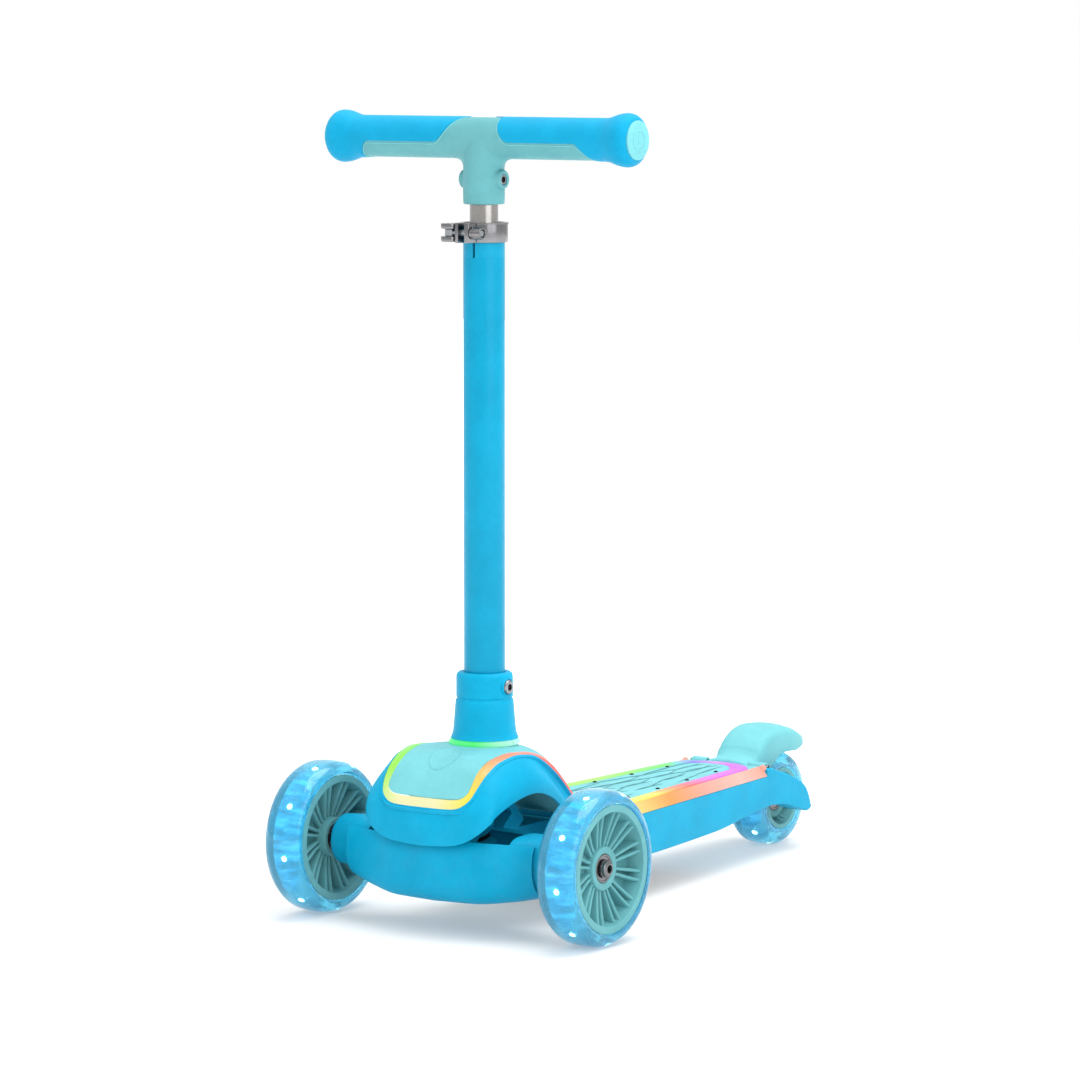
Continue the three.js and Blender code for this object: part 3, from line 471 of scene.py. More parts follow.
def settled_dust():
    """Dust: a soft blotchy mask that grows towards the ground."""
    group, t, start, end = effect_group(
        "settled dust",
        [("Vector", "NodeSocketVector", None), ("Amount", "NodeSocketFloat", 0.2)],
        [("Mask", "NodeSocketFloat")],
    )
    vector = start.outputs["Vector"]
    split = t.add("ShaderNodeSeparateXYZ")
    t.wire(vector, split.inputs[0])
    low = t.add("ShaderNodeMapRange")
    set_sockets(low, From_Min=0.13, From_Max=0.0)
    t.wire(split.outputs["Z"], low.inputs["Value"])
    blotch = t.times(t.math("SUBTRACT", t.noise(vector, 60.0, 6.0, 0.7), 0.42), 3.0, clamp=True)
    t.wire(t.times(t.times(blotch, low.outputs[0]), start.outputs["Amount"]), end.inputs["Mask"])
    return group


GROUPS = {}


def group_node(t, maker, where, **values):
    """The outputs of a shared effect placed in a tree with its own values, on the given coordinates."""
    if maker.__name__ not in GROUPS:
        GROUPS[maker.__name__] = maker()
    node = t.add("ShaderNodeGroup", node_tree=GROUPS[maker.__name__])
    set_sockets(node, **values)
    t.wire(where, node.inputs["Vector"])
    return node.outputs


def new_material(name):
    """A material with only a Principled BSDF, its tree, and the object's own coordinates."""
    material = bpy.data.materials.new(name)
    material.use_nodes = True
    material.node_tree.nodes.clear()
    t = Tree(material.node_tree)
    out = t.add("ShaderNodeOutputMaterial")
    shader = t.add("ShaderNodeBsdfPrincipled")
    t.wire(shader.outputs[0], out.inputs[0])
    where = t.add("ShaderNodeTexCoord").outputs["Object"]
    return material, t, shader, where


def set_sockets(node, **values):
    """Sets a node's own sockets: an underscore stands for a space in a socket's name."""
    for label, value in values.items():
        node.inputs[label.replace("_", " ")].default_value = value


def bumped(t, shader, height, strength, distance):
    """Feeds a height through a Bump node to the shader's normal; distance is in metres."""
    bump = t.add("ShaderNodeBump")
    set_sockets(bump, Strength=strength, Distance=distance)
    t.wire(height, bump.inputs["Height"])
    t.wire(bump.outputs[0], shader.inputs["Normal"])


def toned(t, surface, dark, pale):
    """A colour that drifts between dark and pale over the surface."""
    return t.ramp(surface["Drift"], [(0.3, linear(dark)), (0.7, linear(np.minimum(pale, 1)))])


def glossed(t, shader, surface, rough, spread, scratch=None, scuff=0.0):
    """Roughness: rough give or take half of spread by the smears, and scuff more on the scratches."""
    gloss = t.plus(t.times(surface["Gloss"], spread), rough - spread / 2)
    if scratch is not None:
        gloss = t.plus(gloss, t.times(scratch["Mask"], scuff), clamp=True)
    t.wire(gloss, shader.inputs["Roughness"])


def moulded(name, colour, rough, grain=2600.0, wear=0.3, depth=0.00004, coat=0.0, sheen=0.0, dust=0.05):
    """Moulded plastic or rubber: drifting tone, pebbled grain, paler worn edges, scratches and dust."""
    material, t, shader, where = new_material(name)
    surface = group_node(t, moulded_grain, where, Grain=grain, Edge_wear=wear)
    scratch = group_node(t, fine_scratches, where, Amount=0.35)
    dirt = group_node(t, settled_dust, where, Amount=dust)
    base = np.asarray(colour, float)
    tone = toned(t, surface, base * 0.955, base * 1.02 + 0.012)
    worn = t.mix(surface["Wear"], tone, linear(np.minimum(base * 0.8 + 0.26, 1)))
    t.wire(t.mix(dirt["Mask"], worn, linear(DUST)), shader.inputs["Base Color"])
    glossed(t, shader, surface, rough, 0.16, scratch, 0.18)
    set_sockets(shader, Coat_Weight=coat, Coat_Roughness=0.12, Sheen_Weight=sheen, Specular_IOR_Level=0.1)
    height = t.math("SUBTRACT", surface["Height"], t.times(scratch["Mask"], 0.5))
    bumped(t, shader, height, 0.35, depth)
    return material


def metal(name, colour, rough, brushed=0.0):
    """Metal: drifting tone, faint brushing along the part, hairline scratches, brighter worn edges."""
    material, t, shader, where = new_material(name)
    surface = group_node(t, moulded_grain, where, Grain=1400.0, Edge_wear=0.3)
    scratch = group_node(t, fine_scratches, where, Amount=0.7)
    base = np.asarray(colour, float)
    tone = toned(t, surface, base * 0.9, base * 1.05)
    t.wire(t.mix(surface["Wear"], tone, linear(np.minimum(base * 1.25, 1))), shader.inputs["Base Color"])
    glossed(t, shader, surface, rough, 0.14, scratch, 0.2)
    set_sockets(shader, Metallic=1.0)
    lines = t.noise(where, 1500.0, 2.0, 0.5, (0.04, 1.0, 1.0))
    bumped(t, shader, t.plus(t.times(lines, brushed), t.times(scratch["Mask"], -0.4)), 0.4, 0.00002)
    return material


def clear_cast(name, tint, rough):
    """Clear cast polyurethane: tinted, slightly cloudy, with flow ripples and small scuffs."""
    material, t, shader, where = new_material(name)
    surface = group_node(t, moulded_grain, where, Grain=700.0, Edge_wear=0.0)
    scratch = group_node(t, fine_scratches, where, Amount=0.8)
    tint = np.asarray(tint)
    t.wire(toned(t, surface, tint * 0.9, tint), shader.inputs["Base Color"])
    glossed(t, shader, surface, rough, 0.1, scratch, 0.25)
    bumped(t, shader, t.noise(where, 120.0, 3.0, 0.6, (0.25, 1.0, 1.0)), 0.25, 0.0006)
    set_sockets(shader, Transmission_Weight=0.82, IOR=1.36, Coat_Weight=0.25, Coat_Roughness=0.06)
    return material


def glowing(name, stops, strength):
    """A milky diffuser lit from behind: its colours run by the place along it that its points store."""
    material, t, shader, where = new_material(name)
    along = t.add("ShaderNodeAttribute", attribute_name="along").outputs["Fac"]
    colour = t.ramp(along, [(place, linear(value)) for place, value in stops])
    surface = group_node(t, moulded_grain, where, Grain=1800.0, Edge_wear=0.15)
    milk = t.mix(t.times(surface["Drift"], 0.06), colour, WHITE)
    t.wire(t.mix(0.88, milk, BLACK), shader.inputs["Base Color"])
    t.wire(milk, shader.inputs["Emission Color"])
    set_sockets(shader, Emission_Strength=strength, IOR=1.49)
    glossed(t, shader, surface, 0.3, 0.12)
    bumped(t, shader, surface["Height"], 0.2, 0.00002)
    return material


# ---------------------------------------------------------------- sizes and colours that a user may change
class ScooterColours(bpy.types.PropertyGroup):
    """The colours of the mouldings, as sRGB values."""

    blue: bpy.props.FloatVectorProperty(
        name="Blue", description="Shells, stem and truck", size=3, default=(0.0, 0.60, 0.755), min=0, max=1
    )
    mint: bpy.props.FloatVectorProperty(
        name="Mint", description="Panels, hubs, brake and handlebar core", size=3,
        default=(0.42, 0.71, 0.735), min=0, max=1
    )
    grip: bpy.props.FloatVectorProperty(
        name="Grip", description="Soft rubber of the grips", size=3, default=(0.0, 0.56, 0.72), min=0, max=1
    )
    tyre: bpy.props.FloatVectorProperty(
        name="Tyre", description="Tint of the clear tyres", size=3, default=(0.40, 0.87, 1.0), min=0, max=1
    )
    glow: bpy.props.FloatProperty(
        name="Glow", description="Strength of the lit rings and strips", default=0.8, min=0, max=10
    )
    lamp: bpy.props.FloatProperty(
        name="Lamp", description="Strength of the wheel lamps", default=9.0, min=0, max=100
    )


class ScooterSizes(bpy.types.PropertyGroup):
    """Sizes of the details that the frame doesn't set, in metres."""

    rim_edge: bpy.props.FloatProperty(
        name="Rim edge", description="Rounding of the hood ring's rims", default=0.0008, min=0, unit="LENGTH"
    )
    rib_width: bpy.props.FloatProperty(
        name="Rib width", description="Width of a wheel's ribs", default=0.0024, min=0, unit="LENGTH"
    )
    wave_height: bpy.props.FloatProperty(
        name="Wave height", description="Height of the footplate's grip lines", default=0.0006, min=0,
        unit="LENGTH"
    )
    floor_size: bpy.props.FloatProperty(
        name="Floor size", description="Half the width of the floor", default=6.0, min=1, unit="LENGTH"
    )


MATERIALS = {}


def materials():
    """Every material of the scooter by name, made once."""
    if MATERIALS:
        return MATERIALS
    c = bpy.context.scene.scooter_colours
    m = MATERIALS
    m["blue"] = moulded("satin blue shell", c.blue, 0.45)
    m["blue tube"] = moulded("painted blue tube", np.array(c.blue) * 0.92, 0.36, grain=900.0, depth=0.00001,
                             coat=0.06, wear=0.15)
    m["mint"] = moulded("satin mint shell", c.mint, 0.47)
    m["mint line"] = moulded("mint grip line", np.array(c.mint) * 0.72, 0.5)
    m["screw"] = metal("blackened screw", (0.1, 0.1, 0.11), 0.4)
    # The handlebar's mint is the panels' mint darkened: painted shade, a shaded copy of the same moulding.
    m["mint bar"] = moulded("satin mint handlebar with painted shade", np.array(c.mint) * 0.85, 0.47)
    # The hubs' mint is darkened as painted shade. Their gloss, grain and dust are the hubs' own.
    m["mint hub"] = moulded("mint wheel moulding with painted shade", np.array(c.mint) * 0.88, 0.4, grain=1800.0,
                            depth=0.00002, dust=0.1)
    m["grip"] = moulded("soft blue rubber", c.grip, 0.62, grain=3400.0, depth=0.00008, sheen=0.05, wear=0.15)
    m["tyre"] = clear_cast("clear blue tyre", c.tyre, 0.16)
    m["white"] = moulded("white plastic", (0.86, 0.88, 0.88), 0.5)
    m["dark"] = moulded("dark grained plastic", (0.08, 0.085, 0.09), 0.55, grain=1500.0, depth=0.00006)
    m["elastomer"] = moulded("black elastomer", (0.05, 0.05, 0.055), 0.7, grain=2200.0, depth=0.00005)
    m["bush"] = moulded("cream bush plastic", (0.82, 0.76, 0.62), 0.5)
    m["chrome"] = metal("polished chrome", (0.47, 0.47, 0.48), 0.2)
    m["tube chrome"] = metal("drawn chromed tube", (0.62, 0.61, 0.60), 0.24, brushed=0.35)
    m["steel"] = metal("zinc plated steel", (0.55, 0.57, 0.59), 0.36, brushed=0.5)
    # Sockets and slots take a dark metal: painted shade in their hollows, not the bolts' own colour.
    m["socket"] = metal("hex socket with painted shade", (0.16, 0.17, 0.18), 0.45)
    m["board"] = circuit_board("coated circuit board")
    m["core"] = lamp_core("ribbed lamp carrier", c.tyre)
    m["lamp"] = glowing("white wheel lamp", [(0, (1, 1, 1)), (1, (0.9, 0.98, 1.0))], c.lamp)
    m["led"] = glowing("strip of small lights", [(0, (1, 1, 1)), (1, (0.95, 0.97, 1.0))], c.glow * 2)
    m["hood ring"] = glowing("hood light ring", HOOD_GLOW, c.glow)
    m["deck ring"] = glowing("deck light ring", DECK_GLOW, c.glow)
    m["side strip"] = glowing("side light strip", STRIP_GLOW, c.glow)
    m["base ring"] = glowing("stem base ring", BASE_GLOW, c.glow)
    return m


GREEN, LIME, CREAM = (0.30, 0.92, 0.30), (0.62, 0.95, 0.25), (0.98, 0.96, 0.72)
YELLOW, PEACH, CORAL, RED = (0.98, 0.93, 0.20), (1.0, 0.70, 0.45), (1.0, 0.45, 0.38), (0.97, 0.30, 0.32)
CYAN, VIOLET, LILAC, MAGENTA = (0.35, 0.80, 0.90), (0.38, 0.32, 0.95), (0.80, 0.55, 0.98), (0.88, 0.28, 0.95)
ORANGE, SALMON = (1.0, 0.62, 0.18), (1.0, 0.66, 0.58)
# Places run from the rear right end of the hood's ring, round its front, to the rear left end.
HOOD_GLOW = [(0.0, GREEN), (0.22, GREEN), (0.36, LIME), (0.44, CREAM), (0.53, CREAM), (0.60, YELLOW),
             (0.68, PEACH), (0.78, CORAL), (1.0, RED)]
# And from the front right of the deck's ring, round its rear, to the front left.
DECK_GLOW = [(0.0, LIME), (0.14, LIME), (0.24, GREEN), (0.31, CYAN), (0.38, VIOLET), (0.48, LILAC),
             (0.58, MAGENTA), (0.79, MAGENTA), (0.84, RED), (0.87, ORANGE), (0.90, YELLOW), (1.0, YELLOW)]
STRIP_GLOW = [(0.0, CREAM), (0.22, (1.0, 0.86, 0.45)), (0.42, ORANGE), (0.62, SALMON),
              (0.85, (1.0, 0.76, 0.70)), (1.0, SALMON)]
BASE_GLOW = [(0.0, (0.72, 0.98, 0.94)), (0.35, (0.60, 0.98, 0.86)), (0.62, (0.25, 0.98, 0.55)),
             (0.8, (0.25, 0.98, 0.45)), (1.0, (0.72, 0.98, 0.94))]


def circuit_board(name):
    """A coated board: a grid of paler copper tracks and dots under green coating."""
    material, t, shader, where = new_material(name)
    tracks = t.add("ShaderNodeTexBrick")
    set_sockets(tracks, Scale=260.0, Mortar_Size=0.09, Row_Height=0.6, Color1=linear((0.06, 0.30, 0.16)),
                Color2=linear((0.05, 0.26, 0.13)), Mortar=linear((0.12, 0.44, 0.22)))
    t.wire(where, tracks.inputs["Vector"])
    t.wire(tracks.outputs["Color"], shader.inputs["Base Color"])
    t.wire(t.plus(t.times(t.noise(where, 300.0), 0.2), 0.25), shader.inputs["Roughness"])
    bumped(t, shader, tracks.outputs["Fac"], 0.3, 0.00003)
    return material


def lamp_core(name, tint):
    """Milky plastic under the tyre: pale and bright, mottled with the tyre's tint, a little lit."""
    material, t, shader, where = new_material(name)
    mottle = t.noise(where, 150.0, 4.0, 0.6, (0.3, 1.0, 1.0))
    tint = np.asarray(tint)
    stops = [(0.38, linear(tint * 0.62)), (0.5, linear(tint * 0.8)), (0.66, linear((0.88, 0.97, 1)))]
    colour = t.ramp(mottle, stops)
    for socket in ("Base Color", "Emission Color"):
        t.wire(colour, shader.inputs[socket])
    set_sockets(shader, Emission_Strength=0.75)
    t.wire(t.plus(t.times(mottle, 0.2), 0.3), shader.inputs["Roughness"])
    bumped(t, shader, mottle, 0.3, 0.0004)
    return material


def dress(node, name):
    """Gives a CAD node a finish by reassigning its material slots."""
    made = frame["nodes"][node]
    if not made.data.materials:
        raise RuntimeError(f"{node} has no material slot")
    for slot in made.material_slots:
        slot.material = materials()[name]


# ---------------------------------------------------------------- wheels
LAMPS = 8
LAMP_TURN = math.radians(33)  # of the first lamp above straight ahead


def wheel_centre(kind):
    """A wheel's centre, and the way its outer side faces: 1 or -1 along X."""
    if kind == "rear":
        return np.array([0.0, REAR_Y, REAR_Z]), 1
    way = 1 if kind == "front_left" else -1
    return np.array([way * TRACK_HALF, 0.0, FRONT_Z]), way


def wheel_sizes(kind):
    """Tyre, rim and bed radii of a wheel from its CAD nodes."""
    centre = wheel_centre(kind)[0]
    tyre = local_box(f"{kind}_tyre")[1][1] - centre[1]
    lip = local_box(f"{kind}_hub")[1][1] - centre[1]
    core = local_box(f"{kind}_light_core")[1][1] - centre[1]
    half = local_box(f"{kind}_tyre")[1][0] - centre[0]
    return tyre, lip, core, half


def wheel_parts(kind):
    """A wheel's shells: cast tyre, ribbed lamp core, lamps, dished hub with hairpin ribs, bearings."""
    centre, way = wheel_centre(kind)
    tyre, lip, core, half = wheel_sizes(kind)
    rim = lip - (4.35 if tyre > 50 else 2.8)
    spin = dict(centre=centre, axis="x", sense=way)
    face = half - 1

    outline = [[lip + 0.5, face - 2.3], [lip + 0.7, face + 0.4], [lip + 2.5, half], [tyre - 4.2, half - 1.2],
               [tyre - 0.8, half - 6.5], [tyre, 0], [tyre - 0.8, 6.5 - half], [tyre - 4.2, 1.2 - half],
               [lip + 2.5, -half], [lip + 0.7, -face - 0.4], [lip + 0.5, 2.3 - face],
               [core + 0.3, 2.3 - face], [core + 0.3, face - 2.3]]
    tread = [turned(softened(outline, 3.0, 5), 128, **spin)]

    angle = np.linspace(0, 2 * np.pi, 256, endpoint=False)
    ridge = 0.55 * np.abs(np.sin(angle * 22)) ** 0.5
    loops = []
    for x, r, lift in ((-10, rim, 0), (-10, core - 1.5, 0.6), (-7.5, core - 0.5, 1), (7.5, core - 0.5, 1),
                       (10, core - 1.5, 0.6), (10, rim, 0)):
        radius = r + lift * ridge
        loops.append(hoop(radius, x * way, angle))
    points, faces = swept(np.array(loops), closed=True)
    carrier = [(points + centre, faces)]

    lamps = []
    for k in range(LAMPS):
        turn = math.pi - LAMP_TURN - k * 2 * math.pi / LAMPS
        dome = turned([[0, 0], [2.2, 0], [2.1, 0.8], [1.4, 1.5], [0.6, 1.8], [0, 1.85]], 20,
                      (centre[0], centre[1] + core - 0.4, centre[2]), axis="y")
        lamps.append(rotated(dome, turn, centre, "x"))

    boss, plate = 15.5, 1.6
    dish = [[11.2, -12], [boss, -12], [boss + 0.6, -plate], [rim - 4, -plate], [rim - 1.4, -face],
            [lip, -face], [lip, 1.5 - face], [rim + 0.2, 2.6 - face], [rim + 0.2, face - 2.6],
            [lip, face - 1.5], [lip, face], [rim - 1.4, face], [rim - 4, plate], [boss + 2.6, plate + 0.6],
            [boss + 1.4, 8.6], [boss, 9.4], [boss - 1.4, 8.8], [11.6, 8.6], [11.2, 8.0]]
    hub = [turned(softened(dish, 0.7, 3), 120, **spin)]
    ribs = 12 if tyre > 50 else 8
    for k in range(ribs):
        for lean in (-1, 1):
            for facing in (-1, 1):
                rib = hub_rib(boss, rim, plate, face, facing, lean, ribs)
                points, faces = rotated(rib, (k + 0.5) * 2 * math.pi / ribs, axis="x")
                hub.append((points * np.array([way, 1, 1]) + centre, faces))

    bearings = {}
    for place, sense in (("outer", way), ("inner", -way)):
        low, high = 1.6, 8.6
        race = dict(centre=centre, axis="x", sense=sense)
        bearings[place] = [
            turned(sleeve(9.3, 11.0, low, high, 0.5), 56, **race),
            turned(sleeve(6.1, 9.4, low + 0.5, high - 0.5, 0.3), 56, **race),
            turned(sleeve(4.2, 6.2, low, high, 0.5), 56, **race),
        ]
    return tread, carrier, lamps, hub, bearings


def hub_rib(boss, rim, plate, face, facing, lean, ribs):
    """Half a hairpin: a round-topped ridge from the boss to the rim, its crest rising outwards."""
    width = bpy.context.scene.scooter_sizes.rib_width / MM
    run = np.linspace(boss + 0.4, rim - 1.6, 14)
    t = (run - run[0]) / (run[-1] - run[0])
    apart = (2.0 + 1.4 * eased(t)) * (1 if ribs == 12 else 0.8)
    crest = (plate + 5.4 + (face - plate - 7.5) * t**1.2) * facing
    foot = np.full(14, (plate - 0.8) * facing)
    a = np.linspace(0, np.pi, 7)
    wide = width * (0.5 + 0.12 * t)
    cross = np.concatenate([np.cos(a), [-1, 1]])
    rise = np.concatenate([0.8 + 0.2 * np.sin(a), [0, 0]])
    x = foot[:, None] + (crest - foot)[:, None] * rise
    z = lean * apart[:, None] + wide[:, None] * cross
    return swept(np.stack([x, np.repeat(run[:, None], 9, 1), z], -1))


def axle_bolt(kind):
    """The bolt's shells: a domed head with a hex socket, a washer, and the shank."""
    centre, way = wheel_centre(kind)
    tip = local_box(f"axle_bolt_{'left' if way > 0 else 'right'}")
    spin = dict(centre=centre, axis="x", sense=way)
    inner = (tip[0][0] - centre[0]) if way > 0 else (centre[0] - tip[1][0])
    head = [[0, inner], [3.9, inner], [3.9, -19.6], [5.8, -19.4], [5.8, -8.9], [3.9, -8.8], [3.9, 8.9],
            [7.2, 8.9], [7.2, 10.2], [6.5, 10.4], [6.3, 12.3], [4.8, 13.4], [3.3, 13.5], [2.9, 11.2],
            [0, 11.2]]
    return [turned(head, 48, **spin)], hex_socket(centre, way, 11.3, 2.9)


def hex_socket(centre, way, depth, radius):
    """A six-sided recess, for the dark metal that paints the shade inside it: a star ring whose inner wall
    has six flats, over a floor.
    """
    angle = np.linspace(0, 2 * np.pi, 24, endpoint=False)
    flats = radius * 0.86 * np.cos(np.pi / 6) / np.cos((angle + np.pi / 6) % (np.pi / 3) - np.pi / 6)
    levels = ((flats, depth + 1.4), (radius, depth + 1.5), (radius, depth - 0.4), (flats, depth - 0.4))
    return [swept([hoop(r, x * way, angle) + centre for r, x in levels], closed=True)]


# ---------------------------------------------------------------- truck
# x, middle y, middle z, half depth, half height, squareness of the truck's section
ARM_START = 66.0  # the arms are closed from here outwards
TRUCK_ROWS = [
    [0, -5, 54, 37, 26, 4.2], [34, -5, 54, 34.5, 25.5, 4.0], [62, -3, 55.5, 27.5, 24, 3.4],
    [84, -1, 58, 22, 22, 2.6], [98, 0, 60, 20, 20, 2.1], [107.2, 0, 60, 19.5, 19.5, 2.0],
]


def truck_section(x, angle, wall=0.0):
    """The truck's superellipse at each x: half sizes times cosine and sine to the power 2 / squareness."""
    y, z, deep, tall, square = (column(TRUCK_ROWS, np.abs(x)[:, None], k) for k in (1, 2, 3, 4, 5))
    c, s = np.cos(angle), np.sin(angle)
    wide = (deep - wall) * np.sign(c) * np.abs(c) ** (2 / square)
    high = (tall - wall) * np.sign(s) * np.abs(s) ** (2 / square)
    return np.stack([np.repeat(x[:, None], len(angle), 1), y + wide, z + high], -1)


def truck_shells():
    """An open tray across the middle, and a closed arm with a rounded end and a boss to each wheel."""
    shells = [thick(truck_section(np.linspace(-86, 86, 120), np.radians(np.linspace(-218, 38, 72))), 3.2)]
    loop = np.linspace(0, 2 * np.pi, 72, endpoint=False)
    run = np.concatenate([np.linspace(ARM_START, 105.6, 26), [106.5, 107.1, 107.4]])
    shrink = np.concatenate([np.zeros(26), [0.3, 0.9, 1.8]])
    rings = np.stack([truck_section(np.array([s]), loop, k)[0] for s, k in zip(run, shrink)])
    for way in (1, -1):
        shells.append(swept(rings * np.array([way, 1, 1])))
        shells.append(turned(sleeve(4.4, 9.2, 106, 108.6, 0.5), 48, (0, 0, FRONT_Z), "x", way))
    return shells


def barrel_shells():
    """The kingpin's barrel and the web under it, leaned with the steering axis."""
    barrel = turned(sleeve(8.3, 13, -12, 12, 0.8), 64)
    web = box_shell((-8, -56, -11), (8, -9, 11), 1.5)
    leaned = [rotated(shell, STEER_LEAN, axis="x") for shell in (barrel, web)]
    return [(points + joint_at("lean_steer"), faces) for points, faces in leaned]


# ---------------------------------------------------------------- hood
# y, half width and height of the light ring's outer edge, crest height
HOOD_ROWS = [
    [-50.5, 22, 85, 86], [-48, 31, 93.5, 95.2], [-45, 36, 101, 103.2], [-41, 40.5, 108.6, 111],
    [-34, 43.8, 118.5, 121.4], [-24, 45.5, 127.5, 131],
    [-10, 47, 134.6, 137.6], [10, 49, 137.8, 140.2], [28, 50.5, 136, 140], [42, 52, 131.5, 139.8],
    [56, 53, 123, 138.5], [68, 54, 112, 128], [80, 55, 99, 109], [92, 55.5, 88, 93.5], [102, 55, 81.5, 83.5],
    [110, 54.4, 79, 79.5],
]
RING_FRONT = [[0, -46], [16, -45.9], [28, -45.3], [35, -43.8], [40.2, -41], [42.8, -37], [44.2, -32]]
RING_BAND = 8.4
FRONT_BAND = 0.4  # of the band's width in plan, where the front is steep
CROWN_POWER = 3.2
RING_DEPTH = 4.3
RING_STEP = 3.0  # of the blue below the ring's edge, at the back
ARCH = [
    [59, -38, 92.5], [60, -34, 96.5], [61.5, -21, 102.3], [63, -7, 106.8], [65, 8, 109.5], [66, 20, 108.5],
    [66, 33, 104], [66, 44, 97], [66, 56, 86], [65.7, 66, 72], [65, 74, 55], [64.4, 79.5, 38],
]
NOSE = [[0, -51.5, 72], [15, -50.4, 72.6], [30, -49, 74], [41, -47.6, 77.5], [50, -45, 83], [56, -41.6, 88.6]]


def hood_height(x, y):
    """The hood's top: at each y it falls from the crest to the ring's edge as a power of the way across."""
    ring, edge, crest = (column(HOOD_ROWS, y, k) for k in (1, 2, 3))
    return crest - (crest - edge) * np.clip(np.abs(x) / ring, 0, 1) ** CROWN_POWER


def hood_outline(inset, count, last=110.0):
    """The ring's plan on one side, from the front's middle to the deck, moved in by inset."""
    ys = np.linspace(-26, last, 24)
    sides = np.stack([column(HOOD_ROWS, ys, 1), ys], -1)
    line = smooth_curve(np.vstack([RING_FRONT, sides]), count)
    share = FRONT_BAND + (1 - FRONT_BAND) * eased((np.linspace(0, 1, count) - 0.17) / 0.15)
    moved = line + leftwards(line) * inset * share[:, None]
    moved[:, 0] = np.maximum(moved[:, 0], 0)
    moved[0, 0] = 0
    moved[:, 1] = np.minimum(moved[:, 1], last)
    return moved


def both_sides(half):
    """A line from the middle outwards, continued on the other side, from left end to right end."""
    other = half[:0:-1] * np.array([-1.0] + [1.0] * (half.shape[1] - 1))
    return np.vstack([other, half])


def ribbon(outer, inner, depth, edge, crown=0.0):
    """A band between two lines of points, with rounded rims and a crowned top, hanging down by depth."""
    run = np.linalg.norm(inner - outer, axis=1)[:, None]
    t = np.linspace(0, np.pi / 2, 4)
    rim = np.concatenate([[0], edge * (1 - np.cos(t))])
    fall = np.concatenate([[depth], edge * (1 - np.sin(t))])
    s = np.linspace(0, 1, 9)[1:-1]
    share = np.hstack([rim / run, (edge + s * (run - 2 * edge)) / run, 1 - rim[::-1] / run])
    drop = np.concatenate([fall, -crown * np.sin(np.pi * s), fall[::-1]])
    points = outer[:, None] + (inner - outer)[:, None] * share[:, :, None]
    points[:, :, 2] -= drop
    return swept(points)


def lifted(line):
    """A plan line laid on the hood's top."""
    return np.column_stack([line, hood_height(line[:, 0], line[:, 1])])


def panel(rows, half, count, power, end_gap, height, drop, depth):
    """A sheet of rows across from -half to half, denser at its rims, where it falls by drop over 0.8 mm."""
    u = np.linspace(-1, 1, count)
    x = half[:, None] * np.sign(u) * (1 - (1 - np.abs(u)) ** power)
    y = np.repeat(rows[:, None], count, 1)
    rim = np.minimum(half[:, None] - np.abs(x), end_gap[:, None])
    z = height(x, y) - drop * (1 - np.clip(rim / 0.8, 0, 1)) ** 2
    return thick(np.stack([x, y, z], -1), -depth)


def hood_panel_shell():
    """The panel inside the ring, rounded in front."""
    last = 109.6
    outline = hood_outline(RING_BAND + 0.35, 500, last)
    front = outline[outline[:, 0] > 0.5][:, 1].min()
    order = np.argsort(outline[:, 1])
    rows = front + (last - front) * np.linspace(0, 1, 150) ** 1.25
    half = np.interp(rows, outline[order, 1], np.maximum.accumulate(outline[order, 0]))
    return panel(rows, half, 81, 1.6, rows - front, hood_height, 0.5, 2.3)


def hood_shell():
    """The blue skirt: cubic curves from the ring's edge, which they leave outwards, to the lower edge."""
    count = 180
    top = lifted(hood_outline(-0.15, count))
    step = RING_STEP * eased((top[:, 1] - 25) / 30)
    top[:, 2] -= step
    arch = smooth_curve(ARCH, 140)
    foot = np.array([[64.2, 80.5, DECK_LOW], [61.3, 109.8, DECK_LOW]])
    low = evenly(np.vstack([smooth_curve(NOSE, 60), arch, foot]), count)
    low[0, 0] = 0
    slope = np.gradient(top[:, :2], axis=0)
    out = np.stack([slope[:, 1], -slope[:, 0], 0 * slope[:, 0]], -1)
    out /= np.linalg.norm(out, axis=1, keepdims=True)
    out[0] = [0, -1, 0]
    gap = low - top
    reach = np.maximum(np.sum(gap * out, axis=1, keepdims=True), 1.0)
    down = np.array([0, 0, 1.0]) * gap[:, 2:]
    spread = 0.5 - 0.34 * eased((top[:, 1:2] - 15) / 45)
    first = top + out * spread * reach + down * (0.75 - spread)
    second = low - down * 0.45
    t = np.linspace(0, 1, 34)[:, None, None]
    skirt = top * (1 - t) ** 3 + 3 * first * t * (1 - t) ** 2 + 3 * second * t * t * (1 - t) + low * t**3
    inner = lifted(hood_outline(1.6, count))
    inner[:, 2] -= RING_DEPTH + 0.4 + step
    rolled = top - np.array([0, 0, 1.0])
    skirt = np.concatenate([inner[None], (inner * 0.3 + rolled * 0.7)[None], rolled[None], skirt], axis=0)
    whole = np.concatenate([(skirt * np.array([-1, 1, 1]))[:, :0:-1], skirt], axis=1)
    return thick(whole, 2.6)


def badge_shell():
    """A plain oval badge: a raised rim round a dished field, laid on the panel."""
    angle = np.linspace(0, 2 * np.pi, 96, endpoint=False)
    levels = [(1.0, -0.4), (1.0, 0.7), (0.965, 1.05), (0.88, 1.1), (0.83, 0.85), (0.8, 0.45), (0.4, 0.6),
              (0.02, 0.65)]
    centre = middle("hood_badge")
    half = local_box("hood_badge")[1] - centre
    rings = []
    for share, lift in levels:
        x = centre[0] + half[0] * share * np.cos(angle)
        y = centre[1] + half[1] * share * np.sin(angle)
        rings.append(np.stack([x, y, hood_height(x, y) + lift], -1))
    return swept(rings)


